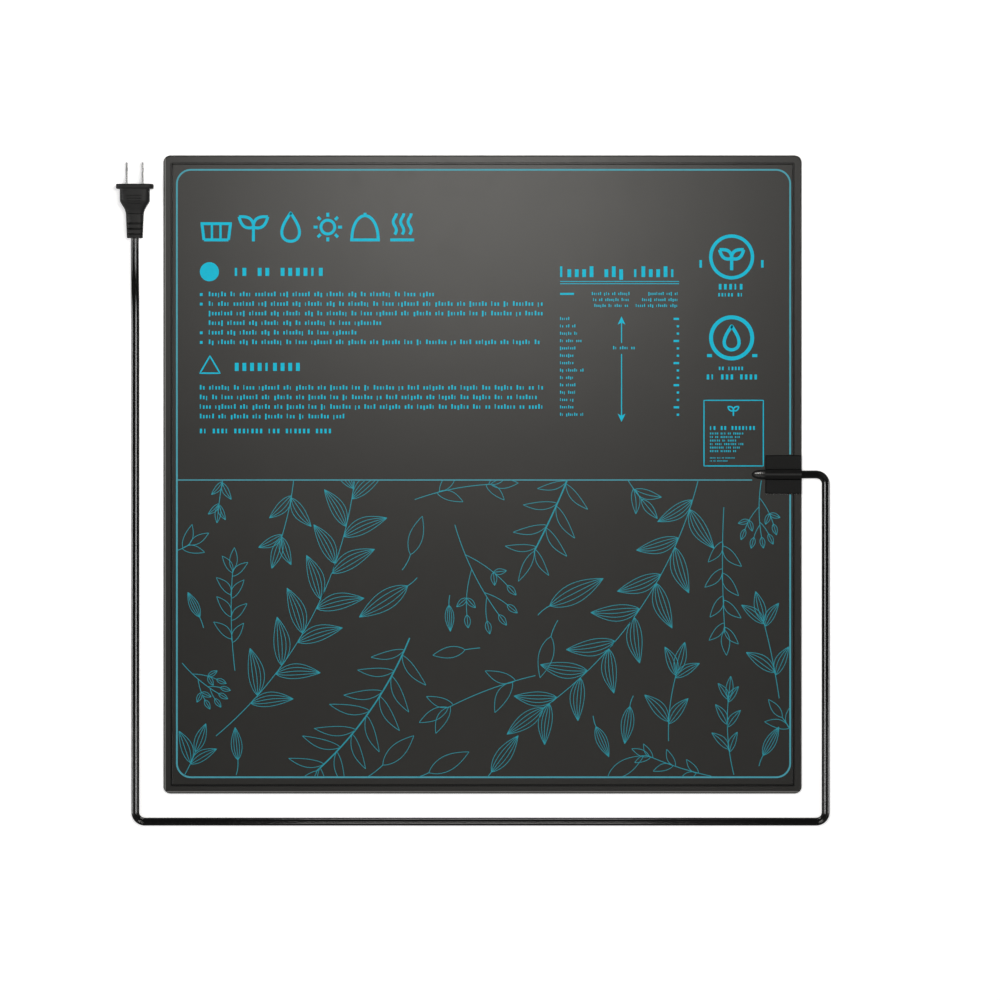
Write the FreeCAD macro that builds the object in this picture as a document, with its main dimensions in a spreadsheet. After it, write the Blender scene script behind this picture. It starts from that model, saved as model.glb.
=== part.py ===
"""Seedling heat mat: a thin square heating pad, its edge clamp, its flat cord and its plug.

Millimetres.  The origin is at the centre of the pad on the surface it lies on, +X points to the
edge the cord leaves from, +Y to the edge the plug lies beside and +Z is up.
"""
import FreeCAD, Part
import os
import re
from math import pi, tan

import Sketcher
from FreeCAD import Placement, Rotation, Vector
from Part import BRepOffsetAPI

SIZES = {
    # pad, seen from above
    "mat_width": 508.0,
    "mat_length": 508.0,
    "corner_radius": 5.6,
    "weld_border": 6.6,
    "weld_inset": 1.4,
    "groove_width": 1.0,
    "groove_depth": 0.8,
    "border_drop": 0.4,
    "edge_round": 0.5,
    "underside_chamfer": 0.2,
    # layers of the pad, from the bottom up
    "bottom_thickness": 0.5,
    "foam_thickness": 1.7,
    "film_thickness": 0.1,
    "foil_thickness": 0.1,
    "top_thickness": 0.6,
    "core_gap": 0.2,
    # heating wire
    "wire_diameter": 1.1,
    "wire_core_diameter": 0.5,
    "channel_width": 1.2,
    "channel_depth": 1.2,
    "wire_rows": 22,
    "wire_margin": 10.0,
    "wire_column": 12.0,
    "wire_column_gap": 16.0,
    "wire_bend": 10.0,
    # clamp at the edge of the pad
    "clamp_length": 29.0,
    "clamp_width": 30.8,
    "plate_rise": 0.9,
    "split_rise": 0.1,
    "clamp_gap": 0.1,
    "clamp_round": 0.6,
    "ridge_width": 8.9,
    "ridge_rise": 1.4,
    "chamber_length": 18.0,
    "chamber_width": 14.0,
    "chamber_floor": 0.5,
    "chamber_rise": 1.0,
    "chamber_wall": 4.0,
    "peg_diameter": 3.0,
    "peg_length": 1.2,
    "peg_inset": 4.4,
    "peg_fit": 0.1,
    # boot over the wires beside the clamp
    "boot_length": 10.9,
    "boot_width": 7.7,
    "boot_height": 2.2,
    "boot_tip_width": 4.6,
    "boot_round": 1.6,
    # joints between the cord and the heating wire
    "joint_spacing": 6.4,
    "joint_length": 6.5,
    "joint_offset": 5.5,
    "crimp_diameter": 1.8,
    "crimp_bore": 1.2,
    "sleeve_diameter": 2.1,
    "sleeve_overhang": 0.6,
    "strand_diameter": 1.1,
    "strand_reach": 2.6,
    "lead_diameter": 1.9,
    # cord
    "cord_width": 6.4,
    "cord_thickness": 3.2,
    "cord_web": 1.8,
    "cord_fit": 0.1,
    "cord_level": 2.1,
    "cord_grip": 7.0,
    # plug
    "plug_x": -276.3,
    "plug_front": 230.7,
    "plug_level": 8.35,
    "flange_width": 29.7,
    "flange_height": 16.6,
    "flange_thickness": 3.7,
    "flange_round": 3.5,
    "grip_width": 23.7,
    "grip_height": 13.4,
    "grip_end": 14.0,
    "neck_width": 14.2,
    "neck_height": 9.6,
    "neck_start": 23.5,
    "tail_width": 12.6,
    "tail_height": 8.4,
    "plug_length": 42.9,
    "plug_round": 1.8,
    "relief_count": 3,
    "relief_first": 30.8,
    "relief_pitch": 4.3,
    "relief_width": 1.3,
    "relief_depth": 1.1,
    "bridge_width": 17.6,
    "bridge_height": 9.0,
    "bridge_length": 12.0,
    "blade_spacing": 12.7,
    "blade_thickness": 1.5,
    "blade_width": 6.35,
    "blade_reach": 17.9,
    "blade_tip": 1.2,
    "blade_hole": 3.2,
    "blade_hole_reach": 11.9,
    "blade_stub": 3.0,
    "blade_stub_width": 3.4,
    "blade_fit": 0.05,
    "plug_cavity": 3.6,
    "plug_strip": 17.0,
    "plug_strand": 4.4,
}

# the cord lies where it is put down, so its route is a list of chosen points
CORD_ROUTE = [
    (247.0, 0.0, 2.1),
    (267.6, 0.0, 2.1),
    (271.1, -2.0, 2.0),
    (273.1, -5.5, 1.9),
    (273.1, -270.8, 1.6),
    (271.1, -274.3, 1.6),
    (267.6, -276.3, 1.6),
    (-270.8, -276.3, 1.6),
    (-274.3, -274.3, 1.6),
    (-276.3, -270.8, 1.6),
    (-276.3, 120.0, 1.6),
    (-276.3, 140.0, 3.0),
    (-276.3, 160.0, 7.1),
    (-276.3, 179.5, 8.35),
    (-276.3, 198.5, 8.35),
]
BEND_SHARE = 0.45

NODES = []

doc = FreeCAD.newDocument("seedling_heat_mat")
dims = doc.addObject("Spreadsheet::Sheet", "dims")
for row, (alias, number) in enumerate(SIZES.items(), start=1):
    dims.set(f"A{row}", alias.replace("_", " "))
    dims.set(f"B{row}", str(number))
    dims.setAlias(f"B{row}", alias)
doc.recompute()


def bound(text):
    """The formula with every size name pointing at its cell of the sheet."""
    return re.sub(r"[a-z_]+", lambda word: f"dims.{word[0]}" if word[0] in SIZES else word[0], text)


def size(text):
    """The number a formula of size names comes to."""
    return float(dims.evalExpression(bound(text)))


def node(thing):
    """List one finished document object as a node of its own."""
    NODES.append(thing)
    return thing


def new_body(label):
    body = doc.addObject("PartDesign::Body", label)
    body.Label = label
    return node(body)


def polygon(body, name, plane, loops, level="0"):
    """A sketch of closed straight-sided loops; every corner is a pair of formulas."""
    sketch = body.newObject("Sketcher::SketchObject", f"{body.Label}_{name}")
    support = next(item for item in body.Origin.OriginFeatures if item.Role == plane)
    sketch.AttachmentSupport = [(support, "")]
    sketch.MapMode = "FlatFace"
    sketch.setExpression("AttachmentOffset.Base.z", bound(level))
    first = 0
    for loop in loops:
        count = len(loop)
        corners = [Vector(size(across), size(up), 0) for across, up in loop]
        for index in range(count):
            sketch.addGeometry(Part.LineSegment(corners[index], corners[(index + 1) % count]), False)
        for index in range(count):
            following = first + (index + 1) % count
            sketch.addConstraint(Sketcher.Constraint("Coincident", first + index, 2, following, 1))
        for index, formulas in enumerate(loop):
            numbers = (corners[index].x, corners[index].y)
            for kind, formula, number in zip(("DistanceX", "DistanceY"), formulas, numbers):
                link = Sketcher.Constraint(kind, -1, 1, first + index, 1, number)
                sketch.setExpression(f"Constraints[{sketch.addConstraint(link)}]", bound(formula))
        first += count
    return sketch


def rectangle(left, right, front, back):
    return [(left, front), (right, front), (right, back), (left, back)]


def centred(half_x, half_y):
    return rectangle(f"-({half_x})", half_x, f"-({half_y})", half_y)


def round_sketch(body, name, plane, centre, diameter, level="0"):
    """A sketch of one circle whose centre and diameter are formulas."""
    sketch = body.newObject("Sketcher::SketchObject", f"{body.Label}_{name}")
    support = next(item for item in body.Origin.OriginFeatures if item.Role == plane)
    sketch.AttachmentSupport = [(support, "")]
    sketch.MapMode = "FlatFace"
    sketch.setExpression("AttachmentOffset.Base.z", bound(level))
    middle = Vector(size(centre[0]), size(centre[1]), 0)
    sketch.addGeometry(Part.Circle(middle, Vector(0, 0, 1), size(diameter) / 2), False)
    links = [
        (Sketcher.Constraint("DistanceX", -1, 1, 0, 3, middle.x), centre[0]),
        (Sketcher.Constraint("DistanceY", -1, 1, 0, 3, middle.y), centre[1]),
        (Sketcher.Constraint("Diameter", 0, size(diameter)), diameter),
    ]
    for link, formula in links:
        sketch.setExpression(f"Constraints[{sketch.addConstraint(link)}]", bound(formula))
    return sketch


def solid_step(kind, sketch, length=None, reverse=False, both=False):
    """Pad or pocket a sketch; without a length a pocket goes through everything."""
    body = sketch.getParentGeoFeatureGroup()
    step = body.newObject(f"PartDesign::{kind}", f"{sketch.Name}_{kind.lower()}")
    step.Profile = sketch
    step.Reversed = reverse
    step.Midplane = both
    if length is None:
        step.Type = "ThroughAll"
    else:
        step.setExpression("Length", bound(length))
    doc.recompute()
    return step


def pad(sketch, length, **how):
    return solid_step("Pad", sketch, length, **how)


def pocket(sketch, length=None, **how):
    return solid_step("Pocket", sketch, length, **how)


def edge_work(body, kind, name, amount, keep):
    """Fillet or chamfer the edges of the solid so far that the test keeps."""
    base = body.Tip
    names = [f"Edge{i}" for i, edge in enumerate(base.Shape.Edges, start=1) if keep(edge)]
    step = body.newObject(f"PartDesign::{kind}", f"{body.Label}_{name}")
    step.Base = (base, names)
    step.setExpression("Radius" if kind == "Fillet" else "Size", bound(amount))
    doc.recompute()
    return step


def runs_along(edge, axis):
    """Whether an edge is straight and parallel to the named axis."""
    if not isinstance(edge.Curve, (Part.Line, Part.LineSegment)):
        return False
    span = edge.lastVertex().Point - edge.firstVertex().Point
    return abs(getattr(span.normalize(), axis)) > 0.999


def flat_at(edge, level):
    """Whether a whole edge lies at one height."""
    box = edge.BoundBox
    return abs(box.ZMin - level) < 0.01 and abs(box.ZMax - level) < 0.01


# ---------------------------------------------------------------- pad

NOTCH = rectangle("mat_width / 2 - clamp_length - clamp_gap", "mat_width / 2 + 1",
                  "-clamp_width / 2 - clamp_gap", "clamp_width / 2 + clamp_gap")
CORE_X = "mat_width / 2 - weld_border - weld_inset - core_gap"
CORE_Y = "mat_length / 2 - weld_border - weld_inset - core_gap"
FOAM_TOP = "(bottom_thickness + foam_thickness)"
FILM_TOP = "(bottom_thickness + foam_thickness + film_thickness)"
FOIL_TOP = "(bottom_thickness + foam_thickness + film_thickness + foil_thickness)"
STACK_TOP = "(bottom_thickness + foam_thickness + film_thickness + foil_thickness + top_thickness)"


def layer(label, half_x, half_y, level, thickness):
    """A flat rectangular sheet with a notch for the clamp in its +X side."""
    body = new_body(label)
    pad(polygon(body, "outline", "XY_Plane", [centred(half_x, half_y)], level), thickness)
    pocket(polygon(body, "notch", "XY_Plane", [NOTCH], level), None, both=True)
    return body


def outer_corner(edge):
    centre = edge.CenterOfMass
    near_side = abs(abs(centre.x) - size("mat_width / 2")) < 0.01
    near_end = abs(abs(centre.y) - size("mat_length / 2")) < 0.01
    return runs_along(edge, "z") and near_side and near_end


def outer_rim(edge, level):
    """An edge of the pad's outline, corners included, at one height."""
    box = edge.BoundBox
    reach_x = max(abs(box.XMin), abs(box.XMax))
    reach_y = max(abs(box.YMin), abs(box.YMax))
    on_rim = reach_x > size("mat_width / 2") - 0.01 or reach_y > size("mat_length / 2") - 0.01
    inside_notch = box.XMin > size("mat_width / 2 - clamp_length") - 1 and reach_y < size("clamp_width")
    return flat_at(edge, level) and on_rim and not inside_notch


def build_bottom_sheet():
    body = new_body("bottom_sheet")
    outline = centred("mat_width / 2", "mat_length / 2")
    pad(polygon(body, "outline", "XY_Plane", [outline]), "bottom_thickness")
    edge_work(body, "Fillet", "corners", "corner_radius", outer_corner)
    edge_work(body, "Chamfer", "lower_edge", "underside_chamfer", lambda edge: flat_at(edge, 0))
    pocket(polygon(body, "notch", "XY_Plane", [NOTCH]), None, both=True)


def build_top_sheet():
    """The upper sheet: a raised field, a groove and a border welded to the lower sheet."""
    body = new_body("top_sheet")
    outline = centred("mat_width / 2", "mat_length / 2")
    full = f"{STACK_TOP} - bottom_thickness"
    pad(polygon(body, "outline", "XY_Plane", [outline], "bottom_thickness"), full)
    edge_work(body, "Fillet", "corners", "corner_radius", outer_corner)
    hollow = centred("mat_width / 2 - weld_border - weld_inset", "mat_length / 2 - weld_border - weld_inset")
    pocket(polygon(body, "hollow", "XY_Plane", [hollow], "bottom_thickness"),
           f"{FOIL_TOP} - bottom_thickness", reverse=True)
    beyond = centred("mat_width / 2 + 1", "mat_length / 2 + 1")
    inside = centred("mat_width / 2 - weld_border", "mat_length / 2 - weld_border")
    pocket(polygon(body, "border", "XY_Plane", [beyond, inside], STACK_TOP), "border_drop")
    band = [centred(f"mat_width / 2 - weld_border {sign} groove_width / 2",
                    f"mat_length / 2 - weld_border {sign} groove_width / 2") for sign in "+-"]
    pocket(polygon(body, "groove", "XY_Plane", band, STACK_TOP), "groove_depth")
    rim_level = size(f"{STACK_TOP} - border_drop")
    edge_work(body, "Fillet", "upper_edge", "edge_round", lambda edge: outer_rim(edge, rim_level))
    pocket(polygon(body, "notch", "XY_Plane", [NOTCH], STACK_TOP), None, both=True)


# ---------------------------------------------------------------- paths and tubes

def bent_path(points, radius=None):
    """Straight runs joined by arcs that meet them without a kink; returns the wire and its radii.

    Without a radius each bend takes BEND_SHARE of its shorter run on either side.
    """
    corners = [Vector(*point) for point in points]
    pieces = []
    radii = []
    start = corners[0]
    for before, corner, after in zip(corners, corners[1:], corners[2:]):
        back = before - corner
        ahead = after - corner
        half_turn = (pi - back.getAngle(ahead)) / 2
        shorter = min(back.Length, ahead.Length)
        bend = radius or BEND_SHARE * shorter / tan(half_turn)
        reach = bend * tan(half_turn)
        back.normalize()
        ahead.normalize()
        enter = corner + back * reach
        leave = corner + ahead * reach
        to_centre = (back + ahead).normalize() * (reach ** 2 + bend ** 2) ** 0.5
        middle = corner + to_centre - (back + ahead).normalize() * bend
        pieces.append(Part.LineSegment(start, enter).toShape())
        pieces.append(Part.Arc(enter, middle, leave).toShape())
        radii.append(bend)
        start = leave
    pieces.append(Part.LineSegment(start, corners[-1]).toShape())
    return Part.Wire(pieces), radii


def disc(at, along, diameter, bore=0.0):
    """A flat disc or ring square to a direction, ready to be swept."""
    outer = Part.Wire(Part.Circle(at, along, diameter / 2).toShape())
    if not bore:
        return Part.Face(outer)
    inner = Part.Wire(Part.Circle(at, along, bore / 2).toShape())
    return Part.Face([outer, inner], "Part::FaceMakerBullseye")


def shaped(label, shape, place=None):
    """A node whose shape was swept along a path, in its own placement."""
    feature = doc.addObject("Part::Feature", label)
    feature.Label = label
    feature.Shape = shape
    if place:
        feature.Placement = place
    return node(feature)


def round_tube(points, diameter, bore=0.0, radius=None):
    path = bent_path(points, radius)[0]
    first = Vector(*points[0])
    along = Vector(*points[1]) - first
    return path.makePipe(disc(first, along, diameter, bore))


# ---------------------------------------------------------------- heating wire

WIRE_LEVEL = f"({FOAM_TOP} - channel_depth / 2)"
JOINT_RIGHT = "(mat_width / 2 - cord_grip - joint_offset)"
JOINT_LEFT = f"({JOINT_RIGHT} - joint_length)"


def serpentine(end):
    """Corner points of the heating wire, which starts and ends at the clamp."""
    level = size(WIRE_LEVEL)
    side = size("joint_spacing / 2")
    column = size("mat_width / 2 - clamp_length - wire_column")
    turn_right = column - size("wire_column_gap")
    turn_left = -size(f"{CORE_X} - wire_margin")
    top = size(f"{CORE_Y} - wire_margin")
    rows = int(size("wire_rows"))
    pitch = 2 * top / (rows - 1)
    points = [(end, side, level), (column, side, level), (column, top, level)]
    for index in range(rows):
        across = top - index * pitch
        goes_left = index % 2 == 0
        start, finish = (turn_right, turn_left) if goes_left else (turn_left, turn_right)
        if index > 0:
            points.append((start, across, level))
        if index < rows - 1:
            points.append((finish, across, level))
    points += [(column, -top, level), (column, -side, level), (end, -side, level)]
    return points


def turn_radius():
    """The radius of the wire's turns: its own size, or less where the rows lie close."""
    pitch = 2 * size(f"{CORE_Y} - wire_margin") / (int(size("wire_rows")) - 1)
    return min(size("wire_bend"), pitch * 0.45)


def build_heating_wire():
    bend = turn_radius()
    skin_end = size(JOINT_LEFT)
    core_end = size(f"{JOINT_LEFT} + joint_length * 0.4")
    shaped("heating_wire", round_tube(serpentine(skin_end), size("wire_diameter"),
                                      size("wire_core_diameter"), bend))
    shaped("heating_wire_core", round_tube(serpentine(core_end), size("wire_core_diameter"), 0, bend))


def build_foam_core():
    """The foam sheet with the channel the wire lies in."""
    blank = layer("foam_blank", CORE_X, CORE_Y, "bottom_thickness", "foam_thickness")
    NODES.remove(blank)
    points = serpentine(size("mat_width / 2"))
    half = size("channel_width / 2")
    low = size(f"{FOAM_TOP} - channel_depth")
    high = size(FOAM_TOP)
    x, y = points[0][:2]
    section = [Vector(x, y + side, level) for side, level in
               ((-half, low), (half, low), (half, high), (-half, high), (-half, low))]
    path = bent_path(points, turn_radius())[0]
    channel = doc.addObject("Part::Feature", "foam_channel")
    channel.Shape = path.makePipe(Part.Face(Part.makePolygon(section)))
    core = doc.addObject("Part::Cut", "foam_core")
    core.Base = blank
    core.Tool = channel
    core.Label = "foam_core"
    node(core)


# ---------------------------------------------------------------- clamp

CLAMP_LEFT = "mat_width / 2 - clamp_length"
CHAMBER_LEFT = "mat_width / 2 - clamp_length + chamber_wall"
CHAMBER_RIGHT = "mat_width / 2 - cord_grip"
CLAMP_OUTLINE = rectangle(CLAMP_LEFT, "mat_width / 2", "-clamp_width / 2", "clamp_width / 2")
CHAMBER = rectangle(CHAMBER_LEFT, CHAMBER_RIGHT, "-chamber_width / 2", "chamber_width / 2")
CLAMP_SPLIT = f"({FOAM_TOP} + split_rise)"
PLATE_TOP = f"({STACK_TOP} + plate_rise)"
RIDGE_TOP = f"({PLATE_TOP} + ridge_rise)"
CORD_SLOT = rectangle("mat_width / 2 - cord_grip", "mat_width / 2 + 1",
                      "-cord_width / 2 - cord_fit", "cord_width / 2 + cord_fit")


def peg_places():
    for end in ("mat_width / 2 - clamp_length + peg_inset", "mat_width / 2 - peg_inset"):
        for side in ("-clamp_width / 2 + peg_inset", "clamp_width / 2 - peg_inset"):
            yield end, side


def build_clamp_lower():
    body = new_body("clamp_lower")
    pad(polygon(body, "outline", "XY_Plane", [CLAMP_OUTLINE]), CLAMP_SPLIT)
    pocket(polygon(body, "chamber", "XY_Plane", [CHAMBER], CLAMP_SPLIT),
           f"{CLAMP_SPLIT} - chamber_floor")
    pocket(polygon(body, "cord_slot", "XY_Plane", [CORD_SLOT], CLAMP_SPLIT),
           f"{CLAMP_SPLIT} - cord_level + cord_thickness / 2 + cord_fit")
    wires = [rectangle(f"{CLAMP_LEFT} - 1", f"{CHAMBER_LEFT}",
                       f"{sign}joint_spacing / 2 - channel_width / 2",
                       f"{sign}joint_spacing / 2 + channel_width / 2") for sign in ("-", "")]
    pocket(polygon(body, "wire_slots", "XY_Plane", wires, CLAMP_SPLIT),
           f"{CLAMP_SPLIT} - {FOAM_TOP} + channel_depth")
    for index, place in enumerate(peg_places()):
        hole = round_sketch(body, f"peg_hole_{index}", "XY_Plane", place, "peg_diameter + peg_fit * 2",
                            CLAMP_SPLIT)
        pocket(hole, "peg_length + peg_fit")


def build_clamp_upper():
    """The upper half: a plate with the ridge that covers the cord, and four pegs below."""
    body = new_body("clamp_upper")
    pad(polygon(body, "outline", "XY_Plane", [CLAMP_OUTLINE], CLAMP_SPLIT),
        f"{PLATE_TOP} - {CLAMP_SPLIT}")
    ridge = rectangle(CLAMP_LEFT, "mat_width / 2", "-ridge_width / 2", "ridge_width / 2")
    pad(polygon(body, "ridge", "XY_Plane", [ridge], f"{PLATE_TOP} - 0.5"),
        "ridge_rise + 0.5")
    ridge_top = size(RIDGE_TOP)
    plate_top = size(PLATE_TOP)
    edge_work(body, "Fillet", "ridge_round", "clamp_round * 2",
              lambda edge: flat_at(edge, ridge_top) and runs_along(edge, "x"))
    edge_work(body, "Chamfer", "plate_bevel", "clamp_round", lambda edge: flat_at(edge, plate_top)
              and abs(edge.CenterOfMass.y) > size("ridge_width / 2") + 0.1)
    pocket(polygon(body, "chamber", "XY_Plane", [CHAMBER], CLAMP_SPLIT), "chamber_rise",
           reverse=True)
    pocket(polygon(body, "cord_slot", "XY_Plane", [CORD_SLOT], CLAMP_SPLIT),
           f"cord_level + cord_thickness / 2 + cord_fit - {CLAMP_SPLIT}", reverse=True)
    for index, place in enumerate(peg_places()):
        pad(round_sketch(body, f"peg_{index}", "XY_Plane", place, "peg_diameter", CLAMP_SPLIT),
            "peg_length", reverse=True)


def build_wire_boot():
    """The small tapered boot on the pad where the wires leave the clamp."""
    body = new_body("wire_boot")
    right = "mat_width / 2 - clamp_length - clamp_gap"
    left = f"{right} - boot_length"
    outline = [(right, "-boot_width / 2"), (right, "boot_width / 2"),
               (f"{left} + boot_length * 0.3", "boot_width * 0.44"), (left, "boot_tip_width * 0.3"),
               (left, "-boot_tip_width * 0.3"), (f"{left} + boot_length * 0.3", "-boot_width * 0.44")]
    pad(polygon(body, "outline", "XY_Plane", [outline], STACK_TOP), "boot_height")
    high = size(f"{STACK_TOP} + boot_height")
    edge_work(body, "Fillet", "round", "boot_round", lambda edge: flat_at(edge, high)
              and edge.BoundBox.XMin < size(right) - 0.01)


# ---------------------------------------------------------------- joints inside the clamp

def cylinder_along_x(body, name, left, right, side, level, diameter, bore=None):
    sketch = round_sketch(body, name, "YZ_Plane", (side, level), diameter, left)
    pad(sketch, f"{right} - {left}")
    if bore:
        hole = round_sketch(body, f"{name}_bore", "YZ_Plane", (side, level), bore, left)
        pocket(hole, f"{right} - {left}", reverse=True)


def build_joints():
    """A crimp, its sleeve, the stripped strands and the insulated lead on either side."""
    for name, sign in (("live", ""), ("neutral", "-")):
        side = f"{sign}joint_spacing / 2"
        crimp = new_body(f"{name}_crimp")
        cylinder_along_x(crimp, "barrel", JOINT_LEFT, JOINT_RIGHT, side, WIRE_LEVEL,
                         "crimp_diameter", "crimp_bore")
        sleeve = new_body(f"{name}_crimp_sleeve")
        cylinder_along_x(sleeve, "tube", f"({JOINT_LEFT} - sleeve_overhang)",
                         f"({JOINT_RIGHT} - sleeve_overhang)", side, WIRE_LEVEL,
                         "sleeve_diameter", "crimp_diameter")
        strands = new_body(f"{name}_strands")
        cylinder_along_x(strands, "strands", f"({JOINT_RIGHT} - strand_reach)", JOINT_RIGHT, side,
                         WIRE_LEVEL, "strand_diameter")
        lobe = size(f"{sign}cord_width / 4")
        out = size(side)
        cord_end = size("mat_width / 2 - cord_grip")
        joint = size(JOINT_RIGHT)
        bend = (cord_end - joint) / 3
        level = size(WIRE_LEVEL)
        cord_level = size("cord_level")
        points = [(cord_end, lobe, cord_level), (cord_end - bend, lobe, cord_level),
                  (joint + bend, out, level), (joint, out, level)]
        shaped(f"{name}_lead", round_tube(points, size("lead_diameter")))


def build_potting():
    """The sealing compound that fills the chamber around the joints."""
    block = doc.addObject("Part::Box", "potting_blank")
    block.setExpression("Length", bound(f"{CHAMBER_RIGHT} - ({CHAMBER_LEFT})"))
    block.setExpression("Width", bound("chamber_width"))
    block.setExpression("Height", bound(f"{CLAMP_SPLIT} + chamber_rise - chamber_floor"))
    block.setExpression("Placement.Base.x", bound(CHAMBER_LEFT))
    block.setExpression("Placement.Base.y", bound("-chamber_width / 2"))
    block.setExpression("Placement.Base.z", bound("chamber_floor"))
    doc.recompute()
    inside = [item for item in NODES if item.Label.split("_")[0] in ("live", "neutral", "heating")]
    solids = [item.Shape.Solids[0] for item in inside]
    for name, sign in (("live", ""), ("neutral", "-")):
        bore = Part.makeCylinder(size("crimp_bore / 2"), size("joint_length"),
                                 Vector(size(JOINT_LEFT), size(f"{sign}joint_spacing / 2"), size(WIRE_LEVEL)),
                                 Vector(1, 0, 0))
        solids.append(bore)
    shaped("potting_block", block.Shape.cut(solids).Solids[0])


# ---------------------------------------------------------------- cord

def lobed_section(at, across, up):
    """The section of a flat two-lobe cord, square to its first run."""
    lobe = size("cord_thickness / 2")
    offset = size("cord_width / 2") - lobe
    web = size("cord_web / 2")
    neck = offset - (lobe ** 2 - web ** 2) ** 0.5

    def spot(side, rise):
        return at + across * side + up * rise

    pieces = [
        Part.Arc(spot(neck, web), spot(offset + lobe, 0), spot(neck, -web)),
        Part.LineSegment(spot(neck, -web), spot(-neck, -web)),
        Part.Arc(spot(-neck, -web), spot(-offset - lobe, 0), spot(-neck, web)),
        Part.LineSegment(spot(-neck, web), spot(neck, web)),
    ]
    return Part.Wire([piece.toShape() for piece in pieces])


def build_power_cord():
    path, radii = bent_path(CORD_ROUTE)
    section = lobed_section(Vector(*CORD_ROUTE[0]), Vector(0, 1, 0), Vector(0, 0, 1))
    sweep = BRepOffsetAPI.MakePipeShell(path)
    sweep.setBiNormalMode(Vector(0, 0, 1))
    sweep.add(section)
    sweep.build()
    sweep.makeSolid()
    cord = Part.Solid(sweep.shape())
    if cord.Volume < 0:
        cord.reverse()
    shaped("power_cord", cord)
    expected = Part.Face(section).Area * path.Length
    print("cord: length", round(path.Length, 1), "bend radii", [round(bend, 1) for bend in radii])
    print("cord: volume", round(cord.Volume, 1), "section x length", round(expected, 1),
          "lowest point", round(cord.optimalBoundingBox(False).ZMin, 3))


# ---------------------------------------------------------------- plug

def at_plug(body):
    """Move a body drawn about the plug's front face to where the plug lies."""
    for axis, formula in (("x", "plug_x"), ("y", "plug_front"), ("z", "plug_level")):
        body.setExpression(f"Placement.Base.{axis}", bound(formula))
    doc.recompute()


def mirrored(points):
    """One half of an outline, then the same points on the other side of the axis."""
    return points + [(f"-({across})", back) for across, back in reversed(points)]


def build_plug_body():
    body = new_body("plug_body")
    half = [("flange_width / 2", "0"), ("flange_width / 2", "-flange_thickness"),
            ("grip_width / 2", "-flange_thickness"), ("grip_width / 2", "-grip_end"),
            ("neck_width / 2", "-neck_start"), ("tail_width / 2", "-plug_length")]
    pad(polygon(body, "plan", "XY_Plane", [mirrored(half)]), "flange_height", both=True)
    above = [("-flange_thickness", "grip_height / 2"), ("-grip_end", "grip_height / 2"),
             ("-neck_start", "neck_height / 2"), ("-plug_length - 1", "tail_height / 2"),
             ("-plug_length - 1", "flange_height"), ("-flange_thickness", "flange_height")]
    below = [(back, f"-({up})") for back, up in above]
    pocket(polygon(body, "side", "YZ_Plane", [above, below]), None, both=True)
    edge_work(body, "Fillet", "flange_corners", "flange_round", lambda edge: runs_along(edge, "y")
              and abs(edge.CenterOfMass.x) > size("flange_width / 2") - 0.01)
    edge_work(body, "Fillet", "grip_edges", "plug_round",
              lambda edge: is_long_plug_edge(edge) and not reaches_tail(edge))
    edge_work(body, "Fillet", "tail_edges", "plug_round",
              lambda edge: is_long_plug_edge(edge) and reaches_tail(edge))
    for index in range(int(size("relief_count"))):
        start = f"relief_first + relief_pitch * {index}"
        outer = centred("tail_width", "tail_height")
        inner = centred("tail_width * 0.75", "tail_height / 2 + 0.2 - relief_depth")
        pocket(polygon(body, f"relief_{index}", "XZ_Plane", [outer, inner], start), "relief_width",
               reverse=True)
    front = centred("bridge_width / 2", "bridge_height / 2")
    pocket(polygon(body, "bridge_seat", "XZ_Plane", [front]), "bridge_length", reverse=True)
    cavity = mirrored([("bridge_width / 2 - 0.6", "-bridge_length"),
                       ("bridge_width / 2 - 1.2", "-plug_strip"),
                       ("cord_width / 2 + cord_fit", "-neck_start - 2.5")])
    pocket(polygon(body, "cavity", "XY_Plane", [cavity]), "plug_cavity", both=True)
    tail = centred("cord_width / 2 + cord_fit", "cord_thickness / 2 + cord_fit")
    pocket(polygon(body, "cord_hole", "XZ_Plane", [tail], "neck_start + 1"), "plug_length", reverse=True)
    at_plug(body)


def is_long_plug_edge(edge):
    """The four long edges of the grip, taper and tail."""
    box = edge.BoundBox
    if box.YMax > size("-flange_thickness") + 0.01 or box.YLength < 5:
        return False
    return abs(edge.CenterOfMass.x) > 1 and abs(edge.CenterOfMass.z) > 1


def reaches_tail(edge):
    return edge.BoundBox.YMin < size("-plug_length") + 0.5


def build_plug_bridge():
    body = new_body("plug_bridge")
    pad(polygon(body, "block", "XZ_Plane", [centred("bridge_width / 2", "bridge_height / 2")]),
        "bridge_length")
    slots = []
    for sign in ("-", ""):
        middle = f"{sign}blade_spacing / 2"
        slots.append(rectangle(f"{middle} - blade_thickness / 2 - blade_fit",
                               f"{middle} + blade_thickness / 2 + blade_fit",
                               "-blade_width / 2 - blade_fit", "blade_width / 2 + blade_fit"))
    pocket(polygon(body, "blade_slots", "XZ_Plane", slots), None, both=True)
    at_plug(body)


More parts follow.
